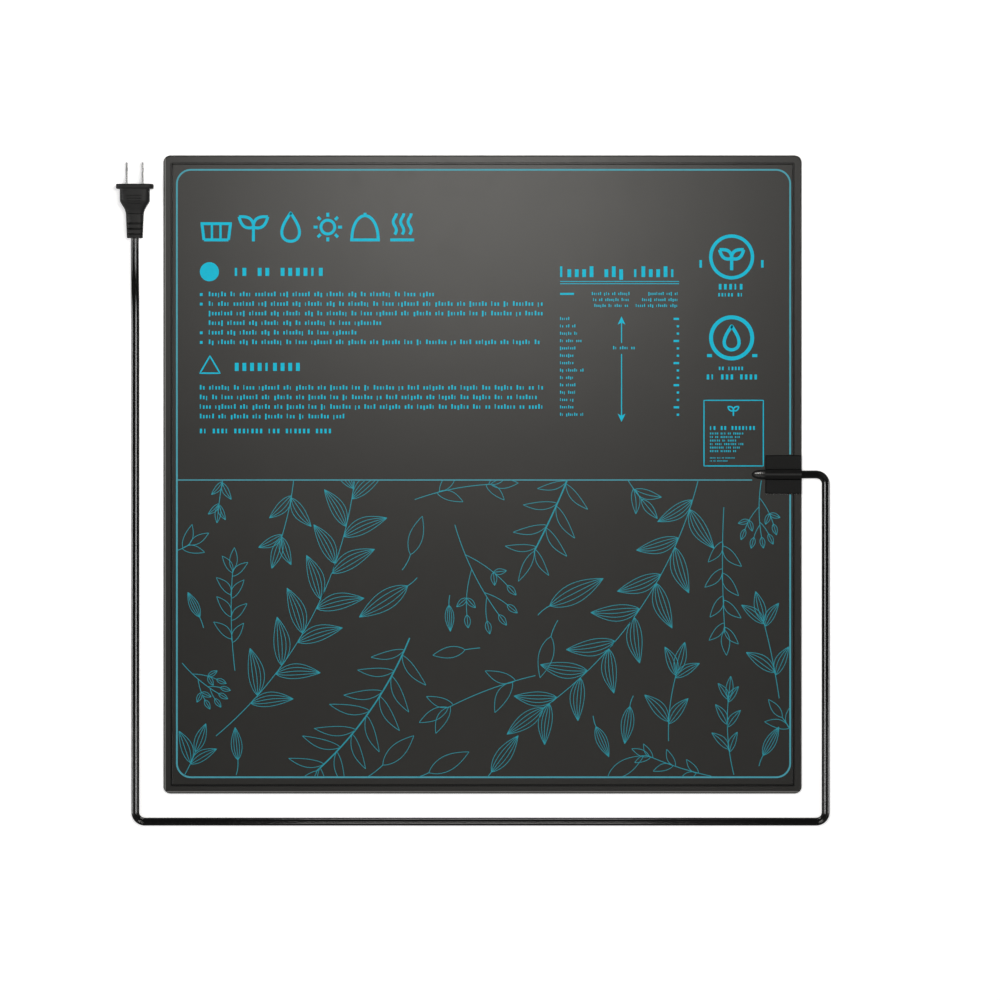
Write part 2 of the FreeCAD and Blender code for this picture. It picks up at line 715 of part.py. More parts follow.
def build_blades():
    for name, sign in (("live", ""), ("neutral", "-")):
        body = new_body(f"{name}_blade")
        outline = [("blade_reach - blade_tip", "-blade_width / 2"),
                   ("blade_reach", "-blade_width / 2 + blade_tip"),
                   ("blade_reach", "blade_width / 2 - blade_tip"),
                   ("blade_reach - blade_tip", "blade_width / 2"),
                   ("-bridge_length", "blade_width / 2"), ("-bridge_length", "blade_stub_width / 2"),
                   ("-bridge_length - blade_stub", "blade_stub_width / 2"),
                   ("-bridge_length - blade_stub", "-blade_stub_width / 2"),
                   ("-bridge_length", "-blade_stub_width / 2"), ("-bridge_length", "-blade_width / 2")]
        level = f"{sign}blade_spacing / 2"
        pad(polygon(body, "blade", "YZ_Plane", [outline], level), "blade_thickness", both=True)
        hole = round_sketch(body, "hole", "YZ_Plane", ("blade_hole_reach", "0"), "blade_hole", level)
        pocket(hole, None, both=True)
        edge_work(body, "Chamfer", "tip", "blade_thickness * 0.25", lambda edge: runs_along(edge, "z")
                  and edge.CenterOfMass.y > size("blade_reach") - 0.01)
        at_plug(body)


def build_plug_leads():
    """Inside the plug: the insulated cores of the cord and their bare ends against the blades."""
    place = Placement(Vector(size("plug_x"), size("plug_front"), size("plug_level")), Rotation())
    cord_end = CORD_ROUTE[-1][1] - size("plug_front")
    strip = -size("plug_strip")
    for name, sign in (("live", 1), ("neutral", -1)):
        lobe = sign * size("cord_width / 4")
        side = sign * size("blade_spacing / 2 - blade_thickness / 2 - strand_diameter / 2")
        points = [(lobe, cord_end, 0), (lobe, cord_end + 6, 0), (side, strip - 3.5, 0), (side, strip, 0)]
        shaped(f"{name}_plug_lead", round_tube(points, size("lead_diameter")), place)
        bare = Part.makeCylinder(size("strand_diameter / 2"), size("plug_strand"), Vector(side, strip, 0),
                                 Vector(0, 1, 0))
        shaped(f"{name}_plug_strands", bare, place)


# ---------------------------------------------------------------- all of it

def export():
    doc.recompute()
    broken = [item.Name for item in doc.Objects if set(item.State) & {"Invalid", "Error"}]
    if broken:
        raise RuntimeError(f"did not recompute: {broken}")
    os.makedirs("parts", exist_ok=True)
    for item in NODES:
        shape = item.Shape
        if shape.isNull() or not shape.isValid() or len(shape.Solids) != 1:
            raise RuntimeError(f"{item.Label}: not one valid solid")
        shape.exportStep(f"parts/{item.Label}.step")
        box = shape.optimalBoundingBox(False)
        print(f"{item.Label:22} {shape.Volume:11.2f}  x {box.XMin:8.2f} {box.XMax:8.2f}"
              f"  y {box.YMin:8.2f} {box.YMax:8.2f}  z {box.ZMin:6.2f} {box.ZMax:6.2f}")


build_bottom_sheet()
build_foam_core()
layer("carrier_film", CORE_X, CORE_Y, FOAM_TOP, "film_thickness")
layer("heat_spreader_foil", CORE_X, CORE_Y, FILM_TOP, "foil_thickness")
build_top_sheet()
build_heating_wire()
build_joints()
build_potting()
build_clamp_lower()
build_clamp_upper()
build_wire_boot()
build_power_cord()
build_plug_body()
build_plug_bridge()
build_blades()
build_plug_leads()
export()
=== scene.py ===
"""Looks of a seedling heat mat: the printed pad, its side clamp, its flat cord and its plug.

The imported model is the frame.  Lengths are given in millimetres in the classes and turned into
metres where a mesh is written.
"""

import logging
import math
from dataclasses import dataclass
from enum import Enum

import bmesh
import bpy
import numpy as np
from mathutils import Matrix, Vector


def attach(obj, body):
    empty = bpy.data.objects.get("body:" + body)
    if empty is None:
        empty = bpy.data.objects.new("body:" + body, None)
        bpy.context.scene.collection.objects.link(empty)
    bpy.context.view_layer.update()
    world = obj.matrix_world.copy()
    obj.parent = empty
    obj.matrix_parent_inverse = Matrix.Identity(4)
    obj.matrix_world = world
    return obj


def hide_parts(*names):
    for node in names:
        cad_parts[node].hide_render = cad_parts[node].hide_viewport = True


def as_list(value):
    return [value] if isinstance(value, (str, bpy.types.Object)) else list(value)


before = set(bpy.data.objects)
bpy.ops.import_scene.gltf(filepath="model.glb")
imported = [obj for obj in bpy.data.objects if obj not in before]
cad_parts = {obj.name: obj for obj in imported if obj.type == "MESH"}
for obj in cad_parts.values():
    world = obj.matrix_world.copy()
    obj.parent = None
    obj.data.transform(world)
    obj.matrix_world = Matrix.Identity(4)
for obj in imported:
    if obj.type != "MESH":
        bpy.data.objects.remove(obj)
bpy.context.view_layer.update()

LOG = logging.getLogger("heat_mat")
MM = 0.001
ROOT = "root"


# ---------------------------------------------------------------- shader nodes


class Sock:
    """A node socket that can be used in a Python expression on values."""

    def __init__(self, shader: "Shader", socket: bpy.types.NodeSocket) -> None:
        """Keep the socket and the shader it belongs to."""
        self.shader = shader
        self.socket = socket

    def _math(self, operation: str, *values: object) -> "Sock":
        """Add one Math node and return its result."""
        sockets = dict(enumerate(values))
        return self.shader.node("ShaderNodeMath", {"operation": operation}, sockets)

    def __add__(self, other: object) -> "Sock":
        """Sum of two values."""
        return self._math("ADD", self, other)

    __radd__ = __add__

    def __sub__(self, other: object) -> "Sock":
        """Difference of two values."""
        return self._math("SUBTRACT", self, other)

    def __rsub__(self, other: object) -> "Sock":
        """Difference the other way round, so that 1 - mask works."""
        return self._math("SUBTRACT", other, self)

    def __mul__(self, other: object) -> "Sock":
        """Product of two values."""
        return self._math("MULTIPLY", self, other)

    def __abs__(self) -> "Sock":
        """Size of a value without its sign."""
        return self._math("ABSOLUTE", self)

    def largest(self, other: object) -> "Sock":
        """The larger of two values."""
        return self._math("MAXIMUM", self, other)


class Shader:
    """A material's node tree with one method for any node."""

    def __init__(self, name: str) -> None:
        """Make an empty node material of that name."""
        self.material = bpy.data.materials.new(name)
        self.material.use_nodes = True
        self.tree = self.material.node_tree
        self.tree.nodes.clear()

    def node(
        self, kind: str, settings: dict | None = None, sockets: dict | None = None, out: object = 0
    ) -> Sock:
        """Add a node of any type.

        Args:
            kind: The node's type.
            settings: Properties set first, such as an operation; "stops" sets a ramp's stops.
            sockets: Values or links of its sockets by name or number.
            out: The output to return, by name or number.

        Returns:
            The chosen output, wrapped.
        """
        made = self.tree.nodes.new(kind)
        for key, value in (settings or {}).items():
            if key == "stops":
                self._ramp(made.color_ramp, value)
            else:
                setattr(made, key, value)
        for key, value in (sockets or {}).items():
            if isinstance(value, Sock):
                self.tree.links.new(value.socket, made.inputs[key])
            else:
                made.inputs[key].default_value = value
        return Sock(self, made.outputs[out])

    @staticmethod
    def _ramp(ramp: bpy.types.ColorRamp, stops: list) -> None:
        """Give a colour ramp its stops, each a position and a grey or a colour."""
        while len(ramp.elements) < len(stops):
            ramp.elements.new(1.0)
        for element, (position, value) in zip(ramp.elements, stops):
            element.position = position
            grey = isinstance(value, (int, float))
            element.color = (value, value, value, 1.0) if grey else (*value, 1.0)

    def place(self) -> Sock:
        """The point on the surface in the object's own coordinates, in metres."""
        return self.node("ShaderNodeTexCoord", out="Object")

    def noise(self, at: Sock, scale: float, detail: float = 2.0, rough: float = 0.5) -> Sock:
        """Noise from 0 to 1 whose lumps are about 1 / scale metres across."""
        values = {"Vector": at, "Scale": scale, "Detail": detail, "Roughness": rough}
        return self.node("ShaderNodeTexNoise", {}, values, "Fac")

    def cells(self, at: Sock, scale: float) -> Sock:
        """Distance to the nearest cell's centre, in cells about 1 / scale metres across."""
        values = {"Vector": at, "Scale": scale}
        return self.node("ShaderNodeTexVoronoi", {"feature": "F1"}, values, "Distance")

    def ramp(self, value: Sock, stops: list) -> Sock:
        """A grey or colour read off a ramp at a value from 0 to 1."""
        return self.node("ShaderNodeValToRGB", {"stops": stops}, {"Fac": value})

    def axis(self, at: Sock, name: str) -> Sock:
        """One coordinate of a point."""
        return self.node("ShaderNodeSeparateXYZ", {}, {"Vector": at}, name)

    def mix(self, factor: object, first: object, second: object) -> Sock:
        """A colour between two others."""
        sockets = {0: factor, 6: first, 7: second}
        return self.node("ShaderNodeMix", {"data_type": "RGBA"}, sockets, 2)

    def bump(self, height: Sock, depth: float, strength: float = 1.0, **more: Sock) -> Sock:
        """A normal from a height that varies from 0 to 1 over a depth in metres."""
        values = {"Height": height, "Distance": depth, "Strength": strength, **more}
        return self.node("ShaderNodeBump", {}, values, "Normal")

    def surface(self, **inputs: object) -> bpy.types.Material:
        """Finish the material with one principled shader.

        Args:
            **inputs: Its sockets, with underscores for spaces.

        Returns:
            The material.
        """
        sockets = {key.replace("_", " "): value for key, value in inputs.items()}
        shader = self.node("ShaderNodeBsdfPrincipled", {}, sockets)
        output = self.tree.nodes.new("ShaderNodeOutputMaterial")
        self.tree.links.new(shader.socket, output.inputs["Surface"])
        return self.material


def rgb(red: float, green: float, blue: float) -> tuple[float, float, float, float]:
    """An opaque colour in linear light."""
    return (red, green, blue, 1.0)


def grey(tone: float) -> tuple[float, float, float, float]:
    """An opaque grey in linear light."""
    return rgb(tone, tone, tone)


def scaled(colour: tuple[float, ...], amount: float) -> tuple[float, float, float, float]:
    """The same colour lighter or darker."""
    return rgb(*(channel * amount for channel in colour[:3]))


# the colour that painted shade is mixed towards
NEAR_BLACK = grey(0.001)


# ---------------------------------------------------------------- finishes


@dataclass(frozen=True)
class Coating:
    """A finish: a name and a colour in linear light, and the material made from them."""

    name: str
    colour: tuple[float, float, float]

    def tint(self, shader: Shader, at: Sock, colour: Sock) -> Sock:
        """The colour as it is; finishes that paint shade or highlight into their colour change it.
        """
        return colour

    def sockets(self, shader: Shader, at: Sock, base: tuple) -> dict[str, object]:
        """The principled shader's sockets, from the place on the surface and the base colour."""
        raise NotImplementedError

    def material(self) -> bpy.types.Material:
        """Build the node material."""
        shader = Shader(self.name)
        return shader.surface(**self.sockets(shader, shader.place(), rgb(*self.colour)))


@dataclass(frozen=True)
class Moulded(Coating):
    """Moulded or rolled plastic and rubber: a fine grain, slow tone changes and small wear.

    The colour drifts by `drift` over lumps of `patch` millimetres; the grain is `grain`
    millimetres across and `depth` millimetres deep.
    """

    rough: float = 0.45
    rough_drift: float = 0.06
    drift: float = 0.10
    patch: float = 40.0
    grain: float = 0.5
    depth: float = 0.010
    specular: float = 0.5
    coat: float = 0.0

    def sockets(self, shader: Shader, at: Sock, base: tuple) -> dict[str, object]:
        """Slow noise in the colour, slow and fine noise in the roughness, grain in the bump."""
        slow = shader.noise(at, 1.0 / (self.patch * MM), 3.0, 0.55)
        fine = shader.noise(at, 1.0 / (self.grain * MM), 2.0, 0.6)
        colour = shader.mix(slow, scaled(base, 1.0 - self.drift), scaled(base, 1.0 + self.drift))
        rough = self.rough + (slow - 0.5) * self.rough_drift + (fine - 0.5) * self.rough_drift
        return {
            "Base_Color": self.tint(shader, at, colour),
            "Roughness": rough,
            "Normal": shader.bump(fine, self.depth * MM),
            "Specular_IOR_Level": self.specular,
            "Coat_Weight": self.coat,
            "Coat_Roughness": 0.08,
        }


@dataclass(frozen=True)
class Banded(Moulded):
    """Moulded plastic whose tone changes in bands across it: painted shade and painted highlight
    that stand for light falling on its grooves and ridge.

    A band runs from `start` to `start + width` millimetres behind `front`, along -Y, and has
    its own tone; the plastic has the tone `between` everywhere else.
    """

    front: float = 230.7
    reach: float = 43.0
    between: float = 1.0
    # default bands: painted shade on the floors of the plug's neck line and grip grooves
    bands: tuple = ((23.2, 0.9, 0.20), (30.6, 1.7, 0.02), (34.9, 1.7, 0.02), (39.2, 1.7, 0.02))

    def tint(self, shader: Shader, at: Sock, colour: Sock) -> Sock:
        """Multiply the colour by each band's tone of painted shade or painted highlight, by a ramp
        along the piece.
        """
        back = (self.front * MM - shader.axis(at, "Y")) * (1.0 / (self.reach * MM))
        stops = []
        for start, width, tone in self.bands:
            near, far = start / self.reach, (start + width) / self.reach
            stops += [(near, self.between), (near + 0.004, tone)]
            stops += [(far - 0.004, tone), (far, self.between)]
        return shader.mix(shader.ramp(back, stops), NEAR_BLACK, colour)


@dataclass(frozen=True)
class Vinyl(Coating):
    """The pad's satin vinyl: very fine leather-like grain, soft rolling waves, faint scuffs."""

    rough: float = 0.40

    def sockets(self, shader: Shader, at: Sock, base: tuple) -> dict[str, object]:
        """Grain cells plus slow waves in the bump, scuffs in the colour and the roughness."""
        fine = shader.noise(at, 900.0, 3.0, 0.6)
        slow = shader.noise(at, 14.0, 2.0, 0.5)
        scuff = shader.ramp(shader.noise(at, 55.0, 6.0, 0.7), [(0.52, 0.0), (0.74, 1.0)])
        tone = shader.mix(slow, scaled(base, 0.93), scaled(base, 1.07))
        height = shader.cells(at, 1900.0) * 0.5 + fine * 0.5
        waves = shader.bump(slow, 0.0004, 0.5)
        return {
            "Base_Color": self.tint(shader, at, shader.mix(scuff * 0.10, tone, scaled(base, 1.6))),
            "Roughness": self.rough + (fine - 0.5) * 0.05 + scuff * 0.02,
            "Normal": shader.bump(height, 0.000012, 0.8, Normal=waves),
            "Specular_IOR_Level": 0.36,
        }


@dataclass(frozen=True)
class WeldedVinyl(Vinyl):
    """Vinyl of the welded sheet, with painted shade in the pressed groove and a painted highlight
    along two edges.

    Distances are in millimetres in from the sheet's edge; `half` is half its side.
    """

    half: float = 254.0
    reach: float = 20.0
    # where painted shade darkens the pressed groove, in from the edge
    groove: tuple[float, float] = (5.80, 7.30)
    # where a painted highlight lightens the rim along the left and front edges, in from the edge
    painted_edge_highlight: tuple[float, float] = (1.05, 1.80)
    # colour of that painted highlight line
    pale: tuple[float, float, float] = (0.210, 0.210, 0.203)

    def band(self, shader: Shader, far: Sock, sides: tuple[float, float]) -> Sock:
        """One between two distances in from the edge, nought outside them.

        Args:
            shader: The material's nodes.
            far: Distance of the point from the sheet's middle, in metres.
            sides: Where the band starts and ends.

        Returns:
            The mask.
        """
        inset = (self.half * MM - far) * (1.0 / (self.reach * MM))
        near, deep = (side / self.reach for side in sides)
        stops = [(near - 0.006, 0.0), (near + 0.006, 1.0), (deep - 0.006, 1.0), (deep + 0.006, 0.0)]
        return shader.ramp(inset, stops)

    def tint(self, shader: Shader, at: Sock, colour: Sock) -> Sock:
        """Lay painted shade in the groove all round and a painted highlight line along the left and
        front edges.
        """
        x, y = shader.axis(at, "X"), shader.axis(at, "Y")
        # painted shade: the groove's band is mixed towards near black
        groove = self.band(shader, abs(x).largest(abs(y)), self.groove)
        # painted highlight: a thin pale line along the left and front edges, where the rounded rim
        # would catch light
        painted_edge_highlight = self.band(shader, (x * -1.0).largest(y * -1.0), self.painted_edge_highlight)
        return shader.mix(painted_edge_highlight, shader.mix(groove, colour, NEAR_BLACK), rgb(*self.pale))


@dataclass(frozen=True)
class Ink(Coating):
    """Screen-printed ink: even colour that thins a little here and there, softly uneven."""

    rough: float = 0.50

    def sockets(self, shader: Shader, at: Sock, base: tuple) -> dict[str, object]:
        """Thin and thick places in the colour and the roughness, a faint grain in the bump."""
        cover = shader.noise(at, 240.0, 4.0, 0.65)
        return {
            "Base_Color": shader.mix(cover, scaled(base, 0.82), scaled(base, 1.08)),
            "Roughness": self.rough + (cover - 0.5) * 0.12,
            "Normal": shader.bump(shader.noise(at, 1500.0), 0.000008),
            "Specular_IOR_Level": 0.12,
        }


@dataclass(frozen=True)
class Metal(Coating):
    """Plated or drawn metal: fine lines along the strip and faint tarnish."""

    rough: float = 0.22
    bump: float = 0.004

    def sockets(self, shader: Shader, at: Sock, base: tuple) -> dict[str, object]:
        """Drawing lines along Y in the roughness and the bump, tarnish in the colour."""
        values = {"Vector": at, "Scale": (3000.0, 120.0, 3000.0)}
        lines = shader.noise(shader.node("ShaderNodeMapping", {}, values), 1.0, 2.0, 0.6)
        tarnish = shader.noise(at, 320.0, 3.0, 0.6)
        return {
            "Base_Color": shader.mix(tarnish, scaled(base, 0.84), base),
            "Metallic": 1.0,
            "Roughness": self.rough + (lines - 0.5) * 0.16 + (tarnish - 0.5) * 0.08,
            "Normal": shader.bump(lines, self.bump * MM),
        }


@dataclass(frozen=True)
class Foam(Coating):
    """Closed-cell foam: small dimples all over."""

    def sockets(self, shader: Shader, at: Sock, base: tuple) -> dict[str, object]:
        """Cells in the colour and the bump."""
        cells = shader.cells(at, 1100.0)
        return {
            "Base_Color": shader.mix(cells, base, scaled(base, 0.7)),
            "Roughness": 0.85,
            "Normal": shader.bump(cells, 0.0002),
        }


class Finish(Enum):
    """Every finish of the object, by the piece it is for."""

    SHEET = WeldedVinyl("pad_vinyl", (0.0170, 0.0165, 0.0150))
    UNDERSIDE = Vinyl("pad_underside_vinyl", (0.0140, 0.0138, 0.0130), 0.5)
    PRINT = Ink("cyan_ink", (0.006, 0.520, 0.720))
    OUTLINE = Ink("outline_ink", (0.080, 0.380, 0.470))
    LEAVES = Ink("leaf_ink", (0.030, 0.330, 0.415))
    # painted highlight along the clamp ridge's crown and painted shade on its two flanks, in bands
    # across the piece
    CLAMP = Banded(
        "clamp_plastic", (0.0260, 0.0262, 0.0260), 0.55, specular=0.12, front=16.0, reach=32.0,
        between=0.27, bands=((11.6, 3.5, 0.02), (15.2, 1.5, 1.0), (16.8, 3.6, 0.02)),
    )
    BOOT = Moulded("boot_gloss", (0.004, 0.004, 0.004), 0.26, 0.04, coat=0.2, depth=0.002)
    CORD = Moulded("cord_skin", (0.0010, 0.0010, 0.0009), 0.13, 0.03, patch=25.0, depth=0.001)
    # painted shade on the floors of the plug's neck line and grip grooves, from the default bands
    PLUG = Banded("plug_skin", (0.015, 0.015, 0.015), 0.52, grain=0.35, patch=12.0, specular=0.2)
    BRIDGE = Moulded("bridge_plastic", (0.020, 0.020, 0.021), 0.40, patch=8.0)
    BLADE = Metal("nickel_plate", (0.66, 0.67, 0.68), 0.20, 0.0003)
    COPPER = Metal("tinned_copper", (0.72, 0.43, 0.26), 0.35)
    ALLOY = Metal("heating_alloy", (0.46, 0.45, 0.43), 0.38)
    FOIL = Metal("bright_foil", (0.80, 0.80, 0.81), 0.28)
    FILM = Moulded("carrier_film", (0.55, 0.57, 0.60), 0.20, patch=60.0, depth=0.002)
    FOAM = Foam("core_foam", (0.62, 0.62, 0.60))
    SILICONE = Moulded("wire_silicone", (0.42, 0.035, 0.020), 0.42, patch=10.0)
    SLEEVE = Moulded("shrink_sleeve", (0.020, 0.060, 0.022), 0.35, patch=4.0)
    LIVE = Moulded("live_insulation", (0.008, 0.008, 0.008), 0.40, patch=4.0)
    NEUTRAL = Moulded("neutral_insulation", (0.60, 0.60, 0.57), 0.40, patch=4.0)
    POTTING = Moulded("potting_compound", (0.020, 0.018, 0.016), 0.30, patch=5.0)

    def material(self) -> bpy.types.Material:
        """The finish's material, built once."""
        found = bpy.data.materials.get(self.value.name)
        return found or self.value.material()


# ---------------------------------------------------------------- meshes from arrays


def added(name: str, data: bpy.types.ID) -> bpy.types.Object:
    """A new object in the scene with that data, at the origin and unturned."""
    made = bpy.data.objects.new(name, data)
    bpy.context.scene.collection.objects.link(made)
    return made


def grid_faces(rows: int, columns: int, wrap: bool = False, start: int = 0) -> np.ndarray:
    """Quads of a grid of points counted row by row.

    Args:
        rows: Number of rows of points.
        columns: Number of points in a row.
        wrap: Whether each row closes on itself.
        start: Number of the first point.

    Returns:
        An array of quads, one per line.
    """
    near = np.arange(rows - 1)[:, None] * columns
    column = np.arange(columns if wrap else columns - 1)[None, :]
    after = (column + 1) % columns
    far = near + columns
    quads = np.stack([near + column, near + after, far + after, far + column], axis=-1)
    return quads.reshape(-1, 4) + start


def enclosed(points: np.ndarray, faces: list) -> float:
    """Signed volume: a sixth of the sum of the triple products of each face's triangles."""
    total = 0.0
    by_size: dict[int, list] = {}
    for face in faces:
        by_size.setdefault(len(face), []).append(face)
    for count, group in by_size.items():
        corners = points[np.asarray(group)]
        for index in range(1, count - 1):
            cross = np.cross(corners[:, index], corners[:, index + 1])
            total += float(np.einsum("ij,ij->", corners[:, 0], cross))
    return total / 6.0


class Piece:
    """A closed mesh in the making, given as points in millimetres and faces."""

    def __init__(self, name: str) -> None:
        """Start an empty piece."""
        self.name = name
        self.points: list[np.ndarray] = []
        self.faces: list = []
        self.count = 0

    def add(self, points: np.ndarray, faces: list) -> None:
        """Add one closed shell, turned so that its faces look outwards.

        Args:
            points: Its points, one per line.
            faces: Its faces, as numbers into those points.
        """
        points = np.asarray(points, float).reshape(-1, 3)
        faces = [tuple(int(i) for i in face) for face in faces]
        if enclosed(points - points.mean(0), faces) < 0:
            faces = [face[::-1] for face in faces]
        self.faces += [tuple(i + self.count for i in face) for face in faces]
        self.points.append(points)
        self.count += len(points)

    def sweep(self, rings: np.ndarray) -> None:
        """Add a skin over rings of points, closed at both ends by a flat face."""
        rows, columns = rings.shape[:2]
        faces = grid_faces(rows, columns, wrap=True).tolist()
        faces.append(list(range(columns))[::-1])
        faces.append(list(range((rows - 1) * columns, rows * columns)))
        self.add(rings, faces)

    def torus(self, rings: np.ndarray) -> None:
        """Add a skin over rings of points whose last ring joins the first."""
        rows, columns = rings.shape[:2]
        quads = grid_faces(rows + 1, columns, wrap=True) % (rows * columns)
        self.add(rings, quads.tolist())

    def build(
        self,
        finish: Finish,
        slot: str,
        stands_for: tuple[str, ...] = (),
        smooth: float | None = 35.0,
        merge: bool = False,
    ) -> bpy.types.Object:
        """Write the mesh, dress it and fix it to the frame.

        Args:
            finish: Its material.
            slot: Not used.
            stands_for: CAD nodes it replaces.
            smooth: Angle in degrees under which edges are shaded smooth, or None for flat.
            merge: Whether points that coincide are merged first.

        Returns:
            The object, riding on the root body.
        """
        mesh = bpy.data.meshes.new(self.name)
        mesh.from_pydata((np.concatenate(self.points) * MM).tolist(), [], self.faces)
        if merge:
            work = bmesh.new()
            work.from_mesh(mesh)
            bmesh.ops.remove_doubles(work, verts=work.verts, dist=2e-7)
            bmesh.ops.dissolve_degenerate(work, edges=work.edges, dist=2e-7)
            work.to_mesh(mesh)
            work.free()
        mesh.validate()
        if smooth is not None:
            mesh.polygons.foreach_set("use_smooth", np.ones(len(mesh.polygons), bool))
            mesh.set_sharp_from_angle(angle=math.radians(smooth))
        mesh.materials.append(finish.material())
        made = added(self.name, mesh)
        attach(made, ROOT)
        if stands_for:
            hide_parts(*stands_for)
        LOG.info("%s: %d faces", self.name, len(mesh.polygons))
        return made


# ---------------------------------------------------------------- studio


@dataclass(frozen=True)
class Lamp:
    """One soft rectangular light; places and sizes are in metres.

    `warmth` is how much of its blue is held back, and a third of that of its green.
    """

    name: str
    place: tuple[float, float, float]
    aim: tuple[float, float, float]
    size: tuple[float, float]
    watts: float
    warmth: float = 0.0
    mirrored: bool = True
    lit: bool = True
    fan: float = 180.0

    def build(self) -> None:
        """Add the light; `mirrored` and `lit` say whether glossy and matt surfaces see it."""
        data = bpy.data.lights.new(self.name, "AREA")
        data.shape = "RECTANGLE"
        data.size, data.size_y = self.size
        data.energy = self.watts
        data.spread = math.radians(self.fan)
        data.color = (1.0, 1.0 - self.warmth / 3, 1.0 - self.warmth)
        made = added(self.name, data)
        made.location = self.place
        way = Vector(self.aim) - Vector(self.place)
        made.rotation_euler = way.to_track_quat("-Z", "Y").to_euler()
        made.visible_camera = False
        made.visible_glossy = self.mirrored
        made.visible_diffuse = self.lit


@dataclass
class Studio:
    """Camera straight above the pad, a large pale floor and soft lights."""

    centre_x: float = 13.9
    centre_y: float = -20.3
    width: float = 796.2
    lens: float = 200.0

    def camera(self) -> None:
        """Place the camera so that the frame is `width` millimetres across at the floor."""
        data = bpy.data.cameras.new("camera")
        data.lens = self.lens
        data.sensor_width = 36.0
        data.clip_end = 60.0
        made = added("camera", data)
        height = self.width * self.lens / data.sensor_width
        made.location = Vector((self.centre_x, self.centre_y, height)) * MM
        bpy.context.scene.camera = made

    def floor(self) -> None:
        """Lay the floor just under the object."""
        half, drop = 15.0, -1e-4
        mesh = bpy.data.meshes.new("floor")
        turns = ((-1, -1), (1, -1), (1, 1), (-1, 1))
        mesh.from_pydata([(half * x, half * y, drop) for x, y in turns], [], [(0, 1, 2, 3)])
        shader = Shader("floor_white")
        mesh.materials.append(
            shader.surface(
                Base_Color=shader.mix(shader.noise(shader.place(), 0.8), grey(0.90), grey(0.93)),
                Roughness=0.9,
                Specular_IOR_Level=0.1,
                Emission_Color=grey(1.0),
                Emission_Strength=0.50,
            )
        )
        made = added("floor", mesh)

    def sky(self, strength: float) -> None:
        """An even pale surround."""
        world = bpy.data.worlds.new("surround")
        world.use_nodes = True
        back = world.node_tree.nodes["Background"]
        back.inputs["Color"].default_value = grey(1.0)
        back.inputs["Strength"].default_value = strength
        bpy.context.scene.world = world

    def build(self) -> None:
        """Make all of it."""
        bpy.context.scene.view_settings.view_transform = "Standard"
        self.camera()
        self.floor()
        self.sky(0.12)
        middle = (0.0, 0.0, 0.0)
        Lamp("key", (-0.015, 0.305, 0.92), (-0.015, 0.255, 0.0), (0.34, 0.17), 4.35, 0.07).build()
        Lamp("low", (0.02, -0.32, 0.92), (0.02, -0.27, 0.0), (0.45, 0.17), 0.42, 0.07).build()
        for side, name in ((-1.0, "left"), (1.0, "right")):
            Lamp(name, (2.6 * side, -0.6, 1.8), middle, (1.6, 1.6), 31.5, mirrored=False).build()
            place, aim = (0.88 * side, 0.0, 0.50), (0.27 * side, 0.0, 0.0)
            Lamp(f"strip_{name}", place, aim, (1.10, 0.18), 0.34, lit=False, fan=26.0).build()


# ---------------------------------------------------------------- cord


